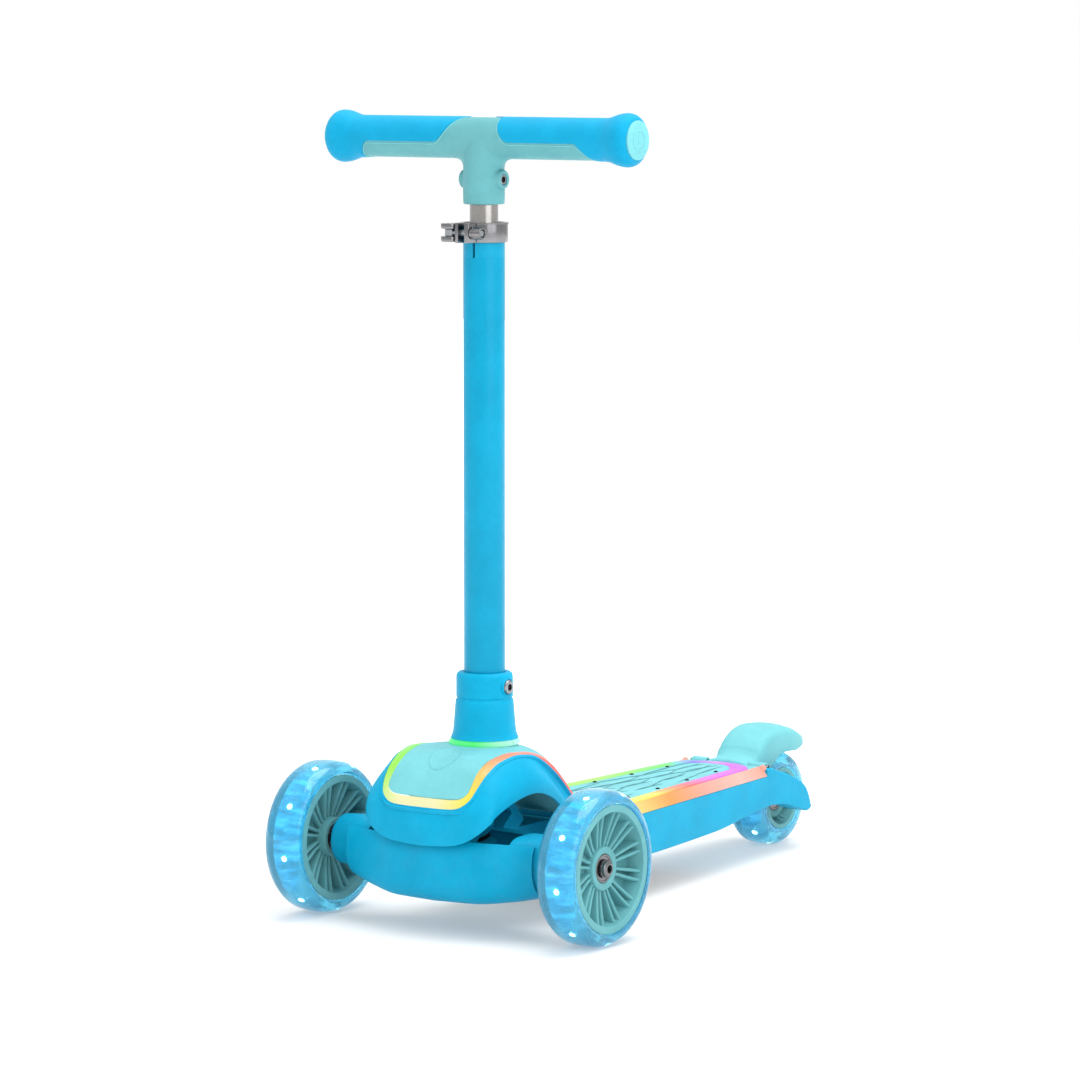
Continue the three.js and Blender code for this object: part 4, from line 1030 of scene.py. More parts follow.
# ---------------------------------------------------------------- stem
def stem_shells():
    """The stem's turned pieces about its axis, and the split upper end of its tube."""
    at = (0, STEM_Y, 0)
    low, high = local_box("stem_socket")
    screw_at = np.array([0, STEM_Y, middle("socket_screw")[2]])
    socket = [[TUBE_R + 0.2, low[2]], [26.6, low[2]], [25.6, 146.0], [24.7, 149], [24.0, 155], [22.7, 172],
              [22.3, 174.2], [21.5, 174.9], [21.5, 176.0], [22.1, 176.6], [22.1, 192.6], [21.4, 194.6],
              [19.6, high[2]], [TUBE_R + 0.2, high[2]]]
    seat = [[3.2, 20.4], [7.6, 20.4], [7.6, 21.6], [6.9, 22.5], [6.2, 22.5], [5.9, 21.4], [3.2, 21.4]]
    cup = [turned(softened(socket, 0.6), 128, at), turned(softened(seat, 0.4), 56, screw_at, "x")]
    head = [[0, -21], [3, -21], [3, 21.3], [5.7, 21.5], [5.7, 22.6], [5.1, 23.6], [3.9, 24.0], [2.7, 23.8],
            [2.4, 22.4], [0, 22.4]]
    screw = [turned(head, 48, screw_at, "x")]
    top = TUBE_HIGH[2]
    tube = [turned(sleeve(TUBE_BORE, TUBE_R, TUBE_LOW[2], SLIT_FOOT, 0.05), 128, at)]
    gap = math.asin(SLIT_HALF / TUBE_R)
    angle = np.linspace(gap, 2 * np.pi - gap, 120) - math.pi / 2 - CLAMP_TURN
    levels = ((TUBE_BORE, SLIT_FOOT), (TUBE_R, SLIT_FOOT), (TUBE_R, top - 0.4), (TUBE_R - 0.4, top),
              (TUBE_BORE + 0.4, top), (TUBE_BORE, top - 0.4))
    rings = [plan(np.stack([r * np.cos(angle), r * np.sin(angle) + STEM_Y], -1), z) for r, z in levels]
    tube.append(swept(np.array(rings).transpose(1, 0, 2)))
    return cup, screw, hex_socket(screw_at, 1, 22.45, 2.4), tube


def base_ring_shell():
    """The lit ring round the stem's foot, a rounded washer, with its turn stored for the colours."""
    low, high = local_box("stem_base_ring")
    radius = (high[0] - low[0]) / 2
    profile = softened([[19.5, low[2]], [radius - 1, low[2]], [radius, low[2] + 1.5],
                        [radius - 1.6, high[2] - 0.3], [19.5, high[2]]], 0.8, 4)
    points, faces = turned(profile, 128, (0, STEM_Y, 0))
    angle = np.arctan2(points[:, 1] - STEM_Y, points[:, 0])
    return (points, faces), (angle / (2 * np.pi)) % 1


# ---------------------------------------------------------------- quick-release clamp
def in_clamp(shell):
    """A shell drawn in the clamp's own plan, placed round the stem and turned with its slit."""
    points, faces = shell
    return rotated((points + np.array([0, STEM_Y, 0]), faces), CLAMP_TURN, (0, STEM_Y, 0))


def clamp_shells():
    """The clamp's band with its two ears, the cross bolt with its eye, the barrel nut and the lever."""
    low, high = local_box("clamp_band")
    z0, z1 = low[2], high[2]
    z = (z0 + z1) / 2
    pivot = joint_at("clamp_open")[:2] - np.array([0, STEM_Y])
    c, s = math.cos(-CLAMP_TURN), math.sin(-CLAMP_TURN)
    pivot = np.array([pivot[0] * c - pivot[1] * s, pivot[0] * s + pivot[1] * c])
    inner_r, outer_r, ear_in, ear_out = TUBE_R + 0.15, 18.4, 3.1, 7.2
    start, ear = math.asin(ear_in / outer_r), math.asin(ear_out / outer_r)
    outside = np.linspace(-np.pi / 2 + ear, 1.5 * np.pi - ear, 90)
    inside = np.linspace(1.5 * np.pi - start, -np.pi / 2 + start, 90)
    ears = np.array([[ear_in, -27.4], [ear_out - 1.6, -27.4], [ear_out - 0.5, -26.9], [ear_out, -25.8]])
    outline = np.vstack([
        ears,
        np.stack([outer_r * np.cos(outside), outer_r * np.sin(outside)], -1),
        (ears * np.array([-1, 1]))[::-1],
        np.stack([inner_r * np.cos(inside), inner_r * np.sin(inside)], -1),
    ])
    band = in_clamp(pressed(outline, z0, z1, 0.35, plan))
    levels = ((outer_r - 0.3, z1 - 1.6), (outer_r + 0.55, z1 - 1.6), (outer_r + 0.55, z1 - 0.2),
              (outer_r - 0.3, z1))
    rings = [plan(r * np.stack([np.cos(outside), np.sin(outside)], -1), h) for r, h in levels]
    flange = in_clamp(swept(np.array(rings).transpose(1, 0, 2)))
    bolt_line = (0, pivot[1], z)
    barrel = softened([[2.9, 7.5], [4.7, 7.5], [4.7, 17.2], [4.3, 17.6], [3.3, 17.6], [2.9, 16.4]], 0.3)
    nut = in_clamp(turned(barrel, 48, bolt_line, "x"))
    groove = in_clamp(turned(sleeve(4.5, 4.95, 9.0, 10.0, 0.2), 48, bolt_line, "x"))
    shank = [[0, pivot[0]], [2.6, pivot[0]], [2.6, 16.3], [2.3, 16.6], [0, 16.6]]
    bolt = in_clamp(turned(shank, 36, bolt_line, "x"))
    ring = [[0, z - 2.7], [3.9, z - 2.7], [4.2, z - 2.4], [4.2, z + 2.4], [3.9, z + 2.7], [0, z + 2.7]]
    eye = in_clamp(turned(ring, 36, (pivot[0], pivot[1], 0)))
    return [band, flange], [bolt, eye], [nut, groove], lever_shells(pivot, z)


def lever_shells(pivot, z):
    """The lever: two cam cheeks with the bolt's eye between them, and a blade that hugs the tube."""
    shells = []
    spread = np.linspace(0, 2 * np.pi, 60, endpoint=False)
    cheek = pivot + 7.2 * np.stack([np.cos(spread), np.sin(spread)], -1)
    for low, high in ((z - 7, z - 2.9), (z + 2.9, z + 7)):
        shells.append(in_clamp(pressed(cheek, low, high, 0.5, plan)))
        pin = turned([[0, low - 0.15], [2.3, low - 0.15], [2.6, low + 0.2], [2.6, high - 0.2],
                      [2.3, high + 0.15], [0, high + 0.15]], 36, (pivot[0], pivot[1], 0))
        shells.append(in_clamp(pin))
    outer = smooth_curve([[-21.3, -26], [-22.6, -19], [-23.8, -10], [-25.2, 4], [-25, 18], [-22.9, 30],
                          [-20.6, 36]], 60)
    inner = smooth_curve([[-17.9, 35.2], [-20, 29], [-21.9, 17], [-22.3, 4], [-20.8, -8], [-19.4, -14.5],
                          [-17.2, -17.4]], 60)
    blade = np.vstack([outer, inner])
    shells.append(in_clamp(pressed(blade, z - 6.7, z - 2.9, 0.5, plan)))
    shells.append(in_clamp(pressed(blade, z + 2.9, z + 6.7, 0.5, plan)))
    shells.append(in_clamp(pressed(blade[blade[:, 1] > -15.5], z - 4, z + 4, 0.05, plan)))
    lip = np.vstack([smooth_curve([[-24.8, 26], [-23.2, 31], [-20.9, 36.4]], 20),
                     smooth_curve([[-17.6, 35.6], [-19.9, 30], [-21.0, 25]], 20)])
    shells.append(in_clamp(pressed(lip, z - 6.9, z + 6.9, 0.8, plan)))
    return shells


# ---------------------------------------------------------------- handlebar
def bar_radius(x):
    """The grips' radius along the bar: plain, then a bulb at each end."""
    rows = [[0, 16.5], [112, 16.5], [116, 16.8], [121, 18.2], [127, 19.9], [131.7, 20.4], [135, 19.8],
            [138, 17.9], [139.4, 15.8]]
    return column(rows, np.abs(x), 1)


def grip_span(x):
    """Degrees from the top to the grip's lower edge, in front and behind, at each x from the middle."""
    corner = 102 * np.sqrt(np.clip(1 - np.clip((33 - x) / 13.5, 0, 1) ** 2, 0, 1))
    front = corner + 78 * eased((x - 91) / 21)
    back = 102 * eased((x - 9) / 28)
    close = np.clip((x - 99) / 9, 0, 1)
    back = back + 78 * (1 - np.sqrt(1 - close**2))
    return np.clip(front, 1.5, 180), np.clip(back, 1.5, 180)


def bar_surface(x, degrees, lift=0.0):
    """A point on the bar: x along it, degrees from the top towards the front, lift above its surface."""
    radius = bar_radius(x) + lift
    turn = np.radians(degrees)
    return np.stack([x, STEM_Y - radius * np.sin(turn), BAR_Z + radius * np.cos(turn)], -1)


def grip_shells():
    """A soft grip with a wavy inner end, and the raised seam that follows its lower edge."""
    x = np.concatenate([np.linspace(11.2, 38, 44), np.linspace(39, 89, 34), np.linspace(90, 113, 44),
                        np.linspace(114, 139.4, 36)])
    front, back = grip_span(x)
    v = np.linspace(-1, 1, 81)
    degrees = np.where(v < 0, -v * front[:, None], -v * back[:, None])
    wide = np.repeat(x[:, None], 81, 1)
    near = np.minimum(1 - np.abs(v), 1)[None, :] * (front + back)[:, None] / 2 * 0.28
    near = np.minimum(near, (x - x[0])[:, None])
    lift = -0.9 * (1 - np.clip(near, 0, 1)) ** 2
    lift[front + back > 359] = 0
    skin = bar_surface(wide, degrees, lift)
    core = bar_surface(wide, degrees, -2.0)
    rows, columns = wide.shape
    both = np.concatenate([skin, core[::-1]], axis=0)
    faces = quads(2 * rows, columns, True, False)
    lower = np.arange(rows - 1) * columns
    upper = (2 * rows - 1 - np.arange(rows - 1)) * columns
    for e, flip in ((0, 1), (columns - 1, -1)):
        strip = np.stack([lower + e, lower + columns + e, upper - columns + e, upper + e], -1)[:, ::flip]
        faces += strip.tolist()
    grip = (both.reshape(-1, 3), faces)
    seam_x = np.linspace(12, 109, 260)
    seam_front, seam_back = grip_span(seam_x)
    wires = []
    for edge, sign in ((seam_front, 1), (seam_back, -1)):
        keep = (edge > 3) & (edge < 176)
        path = np.stack([seam_x[keep], sign * (edge[keep] + 5.5)], -1)
        path = evenly(path * np.array([1, 0.28]), 150) / np.array([1, 0.28])
        wires.append(seam_wire(path))
    return grip, wires


def seam_wire(path):
    """A fine raised line on the bar: a small half-round section carried along a path of (x, degrees)."""
    half = 0.42
    slope = np.gradient(path * np.array([1, 0.288]), axis=0)
    slope /= np.linalg.norm(slope, axis=1, keepdims=True)
    across = np.stack([-slope[:, 1], slope[:, 0] / 0.288], -1)
    rings = []
    for share, lift in ((-1, -0.9), (-1, -0.5), (-0.5, -0.12), (0.5, -0.12), (1, -0.5), (1, -0.9)):
        at = path + across * share * half
        rings.append(bar_surface(at[:, 0], at[:, 1], lift))
    return swept(np.array(rings).transpose(1, 0, 2))


def half_turned(shell):
    """A shell turned half round the stem: the second grip is the first one, turned."""
    return rotated(shell, math.pi, (0, STEM_Y, 0))


def handlebar_shells():
    """The core of the bar, the neck, the fillets between them and the two screw bosses."""
    x = np.linspace(-134, 134, 200)
    turn = np.linspace(0, 2 * np.pi, 96, endpoint=False)
    radius = np.where(np.abs(x) < 113.5, 15.85, 12.6)
    shells = [swept([hoop(r, s, turn) + [0, STEM_Y, BAR_Z] for r, s in zip(radius, x)])]
    neck_r = 16.1
    bottom = local_box("handlebar_body")[0][2]
    profile = softened([[11.2, bottom], [neck_r - 0.2, bottom], [neck_r, bottom + 8],
                        [neck_r - 0.3, BAR_Z - 8], [neck_r - 0.3, BAR_Z], [11.2, BAR_Z]], 1.3, 4)
    shells.append(turned(profile, 120, (0, STEM_Y, 0)))
    theta = np.linspace(-89, 89, 60) * np.pi / 180
    t = np.linspace(0, 1, 9)[None, :, None]
    r = neck_r - 0.2
    for way in (1, -1):
        lean = np.cos(theta)
        size = 11 * lean + 0.4
        y = STEM_Y + r * np.sin(theta)
        join = BAR_Z - np.sqrt(np.maximum(15.85**2 - (r * np.sin(theta)) ** 2, 0))
        neck = np.stack([way * r * lean, y, join - size], -1)
        knee = np.stack([way * r * lean, y, join], -1)
        bar = np.stack([way * (r * lean + size), y, join], -1)
        bow = neck[:, None] * (1 - t) ** 2 + 2 * knee[:, None] * t * (1 - t) + bar[:, None] * t**2
        inward = (knee - np.stack([way * 4.0 * lean, 0 * y, -3.0 * lean], -1))[:, None]
        shells.append(swept(np.concatenate([bow, inward], axis=1)))
    z = middle("neck_bolt")[2]
    boss = [[4.1, 12], [9.6, 12], [8.2, 14.6], [7.5, 16.4], [7.3, 18.2], [6.7, 19.0], [4.9, 19.1],
            [4.3, 18.6]]
    for way in (1, -1):
        shells.append(turned(softened(boss, 0.5), 56, (0, STEM_Y, z), "x", way))
    return shells, z


def end_cap_shells(way):
    """The cap in the bar's end: a domed disc with a plain raised ring and a dot."""
    low, high = local_box("end_cap_left")
    start, end = low[0], high[0]
    cap = [[0, start], [12.4, start], [14.9, GRIP_HIGH[0] - 0.8], [14.9, end - 1.0], [14.0, end - 0.35],
           [12.2, end - 0.2], [8.6, end - 0.1], [8.3, end + 0.35], [7.1, end + 0.35], [6.8, end - 0.1],
           [2.3, end], [2.1, end + 0.3], [0, end + 0.35]]
    return [turned(cap, 72, (0, STEM_Y, BAR_Z), "x", way)]


# ---------------------------------------------------------------- deck
RING_INSET, RING_END, END_DEPTH = 7.0, 390.0, 28.0
FORK_FRONT, ARM_IN = 391.3, 21.0
WALL_ROWS = [[110.3, 61.4], [383, 42.92], [470, 38.5]]
LOW_ROWS = [[110, 35], [190, 35], [300, 36.5], [335, 39], [361, 42], [390, 43.6], [401, 44], [414, 43],
            [428, 41], [441, 37], [455, 33], [464, 30.8], [468, 31.4], [470, 33.5]]
ARM_TOP = [[391, 76], [399, 76], [411, 72.5], [427, 68], [441, 62.5], [453, 57.5], [459, 53.6], [464, 48],
           [467, 42.6], [469, 37.4], [470, 34.5]]


def deck_half(y):
    """Half the deck's width at y: straight tapering sides."""
    return np.interp(y, *np.transpose(WALL_ROWS))


def deck_outline(inset, start, end, count=90):
    """One side of the deck's plan from the rear's middle to the front: half an ellipse, then straight."""
    bend = end - END_DEPTH
    half = deck_half(bend) - inset
    t = np.linspace(0, np.pi / 2, count)
    bow = np.stack([half * np.sin(t), bend + END_DEPTH * np.cos(t)], -1)
    ys = np.linspace(bend, start, count)[1:]
    return np.vstack([bow, np.stack([deck_half(ys) - inset, ys], -1)])


def deck_shells():
    """The deck's body: one section along its length with a tray below, two hooked arms, the ring's bed."""
    cover = local_box("deck_cover")
    y0, y1 = cover[0][1] - 0.3, cover[1][1] + 0.3
    inset, ledge, roof = 5.3, 69.7, 66.0
    stations = np.concatenate([
        [DECK_START, DECK_START + 0.4], np.linspace(112, y0 - 0.1, 8), [y0, y0 + 0.02],
        np.linspace(y0 + 2, y1 - 2, 60), [y1 - 0.02, y1], np.linspace(y1 + 0.2, FORK_FRONT, 30),
    ])
    sections = []
    for y in stations:
        w, low = float(deck_half(y)), float(column(LOW_ROWS, y, 1))
        tray = w - inset
        corner = softened([[w, ledge], [w, low], [tray, low]], 1.6, 5, closed=False)[1:-1]
        sill = [[tray, low], [tray, roof if y0 < y < y1 else low]]
        sections.append(station(doubled(np.vstack([[[w - 0.5, ledge], [w, ledge - 0.5]], corner, sill])), y))
    shells = [swept(sections)]
    shells.append(box_shell((-ARM_IN - 0.3, FORK_FRONT - 0.6, 43.8), (ARM_IN + 0.3, 411.5, 60.8), 0.6))
    edge = deck_outline(RING_INSET + 0.9, DECK_START + 0.3, FORK_FRONT + END_DEPTH, 2)[1:]
    shells.append(pressed(doubled(edge), ledge - 0.3, 76, 0.2, plan))
    sections = []
    for y in np.concatenate([[FORK_FRONT], np.linspace(392.2, 455, 60), np.linspace(456, 469.6, 30)]):
        w = float(deck_half(y))
        low, high = float(column(LOW_ROWS, y, 1)), float(column(ARM_TOP, y, 1))
        sections.append(station(softened([[ARM_IN, low], [w, low], [w, high], [ARM_IN, high]], 2.2, 5), y))
    arm = swept(sections)
    return shells + [arm, mirrored(arm)]


def tail_plate_shells():
    """The plate under the ring's round end, seen in its two corners, and the knuckles of the hinge."""
    start = RING_END - END_DEPTH - 8
    edge = np.array([[deck_half(start) - 7.4, start], [deck_half(FORK_FRONT) - 7.4, FORK_FRONT - 0.4]])
    knuckle = turned(sleeve(2.75, 4.8, ARM_IN + 0.3, 36, 1.2), 48, HINGE, "x")
    return [pressed(softened(doubled(edge), 1.0), 75.6, 77.9, 0.4, plan), knuckle, mirrored(knuckle)]


def deck_ring_shell():
    """The lit ring on the deck, open towards the hood."""
    outer = both_sides(deck_outline(RING_INSET, DECK_START + 0.5, RING_END))
    inner = both_sides(deck_outline(RING_INSET + 12, DECK_START + 0.5, RING_END - 12))
    height = np.full((len(outer), 1), DECK_TOP)
    shell = ribbon(np.hstack([outer, height]), np.hstack([inner, height]), 2.7, 0.7, 0.25)
    along = np.repeat(np.linspace(0, 1, len(outer)), len(shell[0]) // len(outer))
    return shell, along


def footplate_shell():
    """The footplate, rounded behind like the ring round it."""
    edge = deck_outline(RING_INSET + 12.3, DECK_START + 0.5, RING_END - 12.3, 120)
    ys = np.linspace(DECK_START + 0.5, edge[0, 1] - 0.02, 160)
    half = np.interp(ys, edge[::-1, 1], edge[::-1, 0])
    return panel(ys, half, 61, 1.7, ys[-1] - ys, lambda x, y: DECK_TOP, 0.45, 2.4)


def grip_line_shells():
    """Flowing raised lines on the footplate: half-round ridges along sine paths, tapering at both ends."""
    height = bpy.context.scene.scooter_sizes.wave_height / MM
    shells = []
    lanes, rows, count = 7, 5, 70
    golden = (math.sqrt(5) - 1) / 2
    fade = np.sqrt(np.clip(np.sin(np.linspace(0.02, np.pi - 0.02, count)), 0, 1))[:, None, None]
    a = np.linspace(0, np.pi, 7)
    wide = np.concatenate([np.cos(a), [-1, 1]])[None, :, None] * (0.62 * fade + 0.05)
    rise = np.concatenate([np.sin(a), [-0.5, -0.5]])[None, :] * height * fade[:, :, 0]
    for k in range(lanes * rows):
        lane, row = k % lanes, k // lanes
        share = (k * golden) % 1
        start = DECK_START + 5 + row * 50 + 16 * share
        y = np.linspace(start, min(start + 40 + 30 * ((k * golden * 3) % 1), RING_END - 20), count)
        room = deck_half(y) - RING_INSET - 15
        way = 1 if k % 2 else -1
        sway = 4.2 * np.sin((y - start) / (19 + 8 * share) + 2 * share) + 0.9 * np.sin((y - start) / 9 + k)
        x = np.clip((-0.88 + 1.76 * (lane + 0.5) / lanes) * room + way * sway, -room, room)
        path = evenly(np.stack([x, y], -1), count)
        flat = path[:, None] + leftwards(path)[:, None] * wide
        shells.append(swept(np.concatenate([flat, (DECK_TOP + rise)[:, :, None]], axis=2)))
    return shells


def plate_screws():
    """Small round-headed screws near the footplate's edges, and their cross slots."""
    heads, slots = [], []
    for y in (140, 190, 240, 290, 340):
        for way in (1, -1):
            at = (way * (deck_half(y) - RING_INSET - 15.2), y, DECK_TOP - 0.3)
            heads.append(turned([[0, 0], [1.9, 0], [1.9, 0.4], [1.6, 0.85], [1.0, 1.1], [0, 1.2]], 28, at))
            for turn in (0.6, 0.6 + np.pi / 2):
                bar = box_shell((-1.1, -0.22, 0.9), (1.1, 0.22, 1.24), 0.04)
                slots.append((rotated(bar, turn)[0] + np.array(at), bar[1]))
    return heads, slots


def side_strip_shell(way):
    """A side light strip: its sloping section carried along the deck's side, and the knob at its end."""
    node = local_box("side_light_strip_left")
    ys = np.linspace(node[0][1], node[1][1], 60)
    section = softened([[-6.7, 78.8], [0, 71.2], [0, 70], [-7.5, 70], [-7.5, 76], [-6.9, 76]], 0.7, 3)
    strip = swept([station(section + [deck_half(y), 0], y) for y in ys])
    t = np.linspace(0, np.pi, 12)
    ball = 2.9 * np.stack([np.sin(t), -np.cos(t)], -1)
    ball[0, 0] = 0
    knob = turned(ball[:-1].tolist() + [[0.05, 2.9]], 32, (deck_half(ys[-1]) - 4.4, ys[-1] + 0.3, 76.7))
    along = [np.repeat(np.linspace(0, 1, len(ys)), len(section)), np.ones(len(knob[0]))]
    return [mirrored(s) if way < 0 else s for s in (strip, knob)], along


def cover_shells():
    """The cover under the deck: a plate with a round hole, ribs and six screws."""
    low, high = local_box("deck_cover")
    ys = np.array([low[1], high[1]])
    corner = np.array([[deck_half(ys[0]) - 5.4, ys[0]], [deck_half(ys[1]) - 5.4, ys[1]]])
    outline = softened(doubled(corner), 5, 6)
    ring = evenly(np.vstack([outline, outline[:1]]), 97)[:-1]
    hole_y = middle("light_button")[1]
    angle = np.arctan2(ring[:, 1] - hole_y, ring[:, 0])
    hole = np.stack([6.3 * np.cos(angle), 6.3 * np.sin(angle) + hole_y], -1)
    levels = [plan(ring, low[2] + 0.5), plan(offset(ring, 0.5), low[2]), plan(hole, low[2]),
              plan(hole, high[2]), plan(ring, high[2])]
    shells = [swept(np.array(levels), closed=True)]
    for y in np.arange(182, 296, 8.0):
        half = deck_half(y) - 16
        shells.append(box_shell((-half, y - 0.8, low[2] - 0.45), (half, y + 0.8, low[2] + 0.4), 0.3))
    heads = []
    for y in (129, 212, 296):
        for way in (1, -1):
            head = [[0, -1.0], [1.3, -1.0], [1.35, -0.3], [2.7, -0.4], [3.0, 0.4], [0, 0.4]]
            heads.append(turned(head, 32, (way * (deck_half(y) - 10.5), y, low[2])))
    return shells, heads


def button_shell():
    """The push button: a shallow dished cap over a wider collar, turned about its own middle."""
    profile = [[0, 34.4], [2.5, 34.3], [4.2, 34.0], [4.8, 34.2], [5.1, 34.8], [5.4, 35.4], [5.4, 39.2],
               [8, 39.2], [8, 41], [0, 41]]
    return turned(profile, 56, (0, middle("light_button")[1], 0))


# ---------------------------------------------------------------- fender and rear fittings
FENDER_TOP = [
    [394, 78.3], [395.5, 80.1], [399, 81.0], [405, 81.3], [408.5, 82.8], [411, 85], [417, 91.5], [424, 97.4],
    [433, 101.9], [445, 104.2], [458, 103.5], [472, 100.4], [486, 95.6], [498, 90.2], [504, 86.8],
    [507, 84.2], [508, 82.4],
]
FENDER_LOW = [
    [394, 74], [396, 70.8], [400, 68.6], [410, 66.2], [412, 68.0], [417, 72.4], [423, 76.8], [430, 81.0],
    [438, 83.9], [449, 85.2], [458, 84.6], [464, 83.4], [470, 82.2], [475, 81.5], [483, 81.2],
    [494, 81.4], [503, 81.7], [507, 82.0], [508, 82.2],
]
# The side skirts hang beside the tyre.
FENDER_SKIRT = [
    [394, 74], [396, 70.8], [400, 68.6], [411, 65.4], [424, 66.2], [431, 68.4], [438, 72.4], [444, 76.6],
    [449, 79.2], [458, 80.4], [470, 80.0], [475, 79.4], [483, 80.0], [508, 82.0],
]
CHANNEL_HALF = 15.4


def fender_shell():
    """The brake's moulding: sections across, each a rounded arch with straight sides that flare outwards."""
    top = smooth_curve(FENDER_TOP, 150)
    low, skirts = (np.interp(top[:, 0], *np.transpose(rows)) for rows in (FENDER_LOW, FENDER_SKIRT))
    sections = []
    for (y, crest), channel, floor in zip(top, low, np.minimum(low, skirts)):
        half = 20.6 + 0.5 * eased((y - 404) / 16)
        tail = np.clip((y - 455) / 53.3, 0, 1)
        half = half * math.sqrt(1 - tail**2.3)
        step = 0.55 * eased((y - 413.2) / 0.9)
        tall = crest + step - floor
        bend = min(7.5, 0.45 * tall)
        narrow = min(20.6, half)
        gap = min(CHANNEL_HALF, 0.7 * half)
        lip = min(1.0, tall / 6)
        corner = np.linspace(0, np.pi / 2, 9)
        side_x = half - bend + bend * np.cos(corner)
        side_z = crest + step - 1.5 - bend + bend * np.sin(corner)
        side_z = np.maximum(side_z, floor + 0.2)
        across = np.linspace(half - bend, 0, 9)[1:]
        crown = crest + step - 1.5 * (across / max(half - bend, 1)) ** 2
        right = np.vstack([
            [[gap, channel], [gap, floor + 0.001], [narrow - 0.7 * lip, floor], [narrow, floor + 0.7 * lip]],
            np.column_stack([side_x, side_z]), np.column_stack([across, crown]),
        ])
        loop = np.vstack([right, (right[:-1] * np.array([-1, 1]))[::-1]])
        sections.append(station(loop, y))
    return swept(sections)


def rear_fittings():
    """The hinge pin's heads, the rear axle with its head, and its two spacers."""
    tip = 38.2
    dome = [[0, -1], [2.4, -1], [2.4, 36.2], [3.2, 36.2], [3.2, tip - 0.8], [2.9, tip - 0.2], [2.2, tip],
            [1.9, tip - 1.2], [0, tip - 1.2]]
    pins = [turned(dome, 40, HINGE, "x", way) for way in (1, -1)]
    recess = [hex_socket(HINGE, way, tip - 1.5, 2.0)[0] for way in (1, -1)]
    at = np.array([0, REAR_Y, REAR_Z])
    head = local_box("rear_axle")[0][0]
    bolt = [[0, -34.4], [3.9, -34.4], [3.9, 34.8], [6.3, 34.8], [6.8, 35.3], [6.6, 37.4], [5.2, -head - 0.2],
            [3.2, -head], [2.9, 36.6], [0, 36.6]]
    spacers = [turned(sleeve(4.1, 6.0, 8.9, 20.7, 0.4), 48, at, "x", way) for way in (1, -1)]
    return pins, recess, [turned(bolt, 48, at, "x", -1)], hex_socket(at, -1, 36.7, 2.9), spacers


# ---------------------------------------------------------------- operators
class SCOOTER_OT_hood(bpy.types.Operator):
    """Builds the front hood, its panel, light ring and badge"""

    bl_idname = "scooter.hood"
    bl_label = "Hood"

    def execute(self, context):
        m = materials()
        piece("hood", [hood_shell()], "deck", m["blue"], ["hood"])
        piece("hood_panel", [hood_panel_shell()], "deck", m["mint"], ["hood_panel"])
        outer = both_sides(lifted(hood_outline(0, 150)))
        inner = both_sides(lifted(hood_outline(RING_BAND, 150)))
        ring = ribbon(outer, inner, RING_DEPTH, context.scene.scooter_sizes.rim_edge / MM, 0.35)
        along = np.repeat(np.linspace(0, 1, len(outer)), len(ring[0]) // len(outer))
        piece("hood_light_ring", [ring], "deck", m["hood ring"], ["hood_light_ring"],
              attribute=[along])
        piece("hood_badge", [badge_shell()], "deck", m["mint"], ["hood_badge"])
        return {"FINISHED"}


class SCOOTER_OT_stem(bpy.types.Operator):
    """Builds the stem's socket, split tube, base ring, inner tube and bush"""

    bl_idname = "scooter.stem"
    bl_label = "Stem"

    def execute(self, context):
        m = materials()
        cup, screw, recess, tube = stem_shells()
        piece("stem_socket", cup, "deck", m["blue"], ["stem_socket"])
        piece("socket_screw", screw, "deck", m["steel"], ["socket_screw"])
        piece("socket_screw_recess", recess, "deck", m["socket"])
        piece("outer_tube", tube, "deck", m["blue tube"], ["outer_tube"])
        ring, along = base_ring_shell()
        piece("stem_base_ring", [ring], "deck", m["base ring"], ["stem_base_ring"],
              attribute=[along])
        low, high = local_box("inner_tube")
        wall = turned(sleeve(9.4, 10.9, low[2], high[2], 0.3), 96, (0, STEM_Y, 0))
        piece("inner_tube", [wall], "handlebar", m["tube chrome"], ["inner_tube"])
        low, high = local_box("tube_bush")
        bush = turned(sleeve(11.3, 13.5, low[2], high[2], 0.4), 96, (0, STEM_Y, 0))
        piece("tube_bush", [bush], "deck", m["dark"], ["tube_bush"])
        return {"FINISHED"}


class SCOOTER_OT_clamp(bpy.types.Operator):
    """Builds the height clamp, its bolt and nut, and the quick-release lever"""

    bl_idname = "scooter.clamp"
    bl_label = "Clamp"

    def execute(self, context):
        m = materials()
        band, bolt, nut, lever = clamp_shells()
        piece("clamp_band", band, "deck", m["chrome"], ["clamp_band"])
        piece("clamp_bolt", bolt, "deck", m["steel"], ["clamp_bolt"])
        piece("clamp_nut", nut, "deck", m["chrome"], ["clamp_nut"])
        piece("clamp_lever", lever, "lever", m["chrome"], ["clamp_lever"])
        return {"FINISHED"}


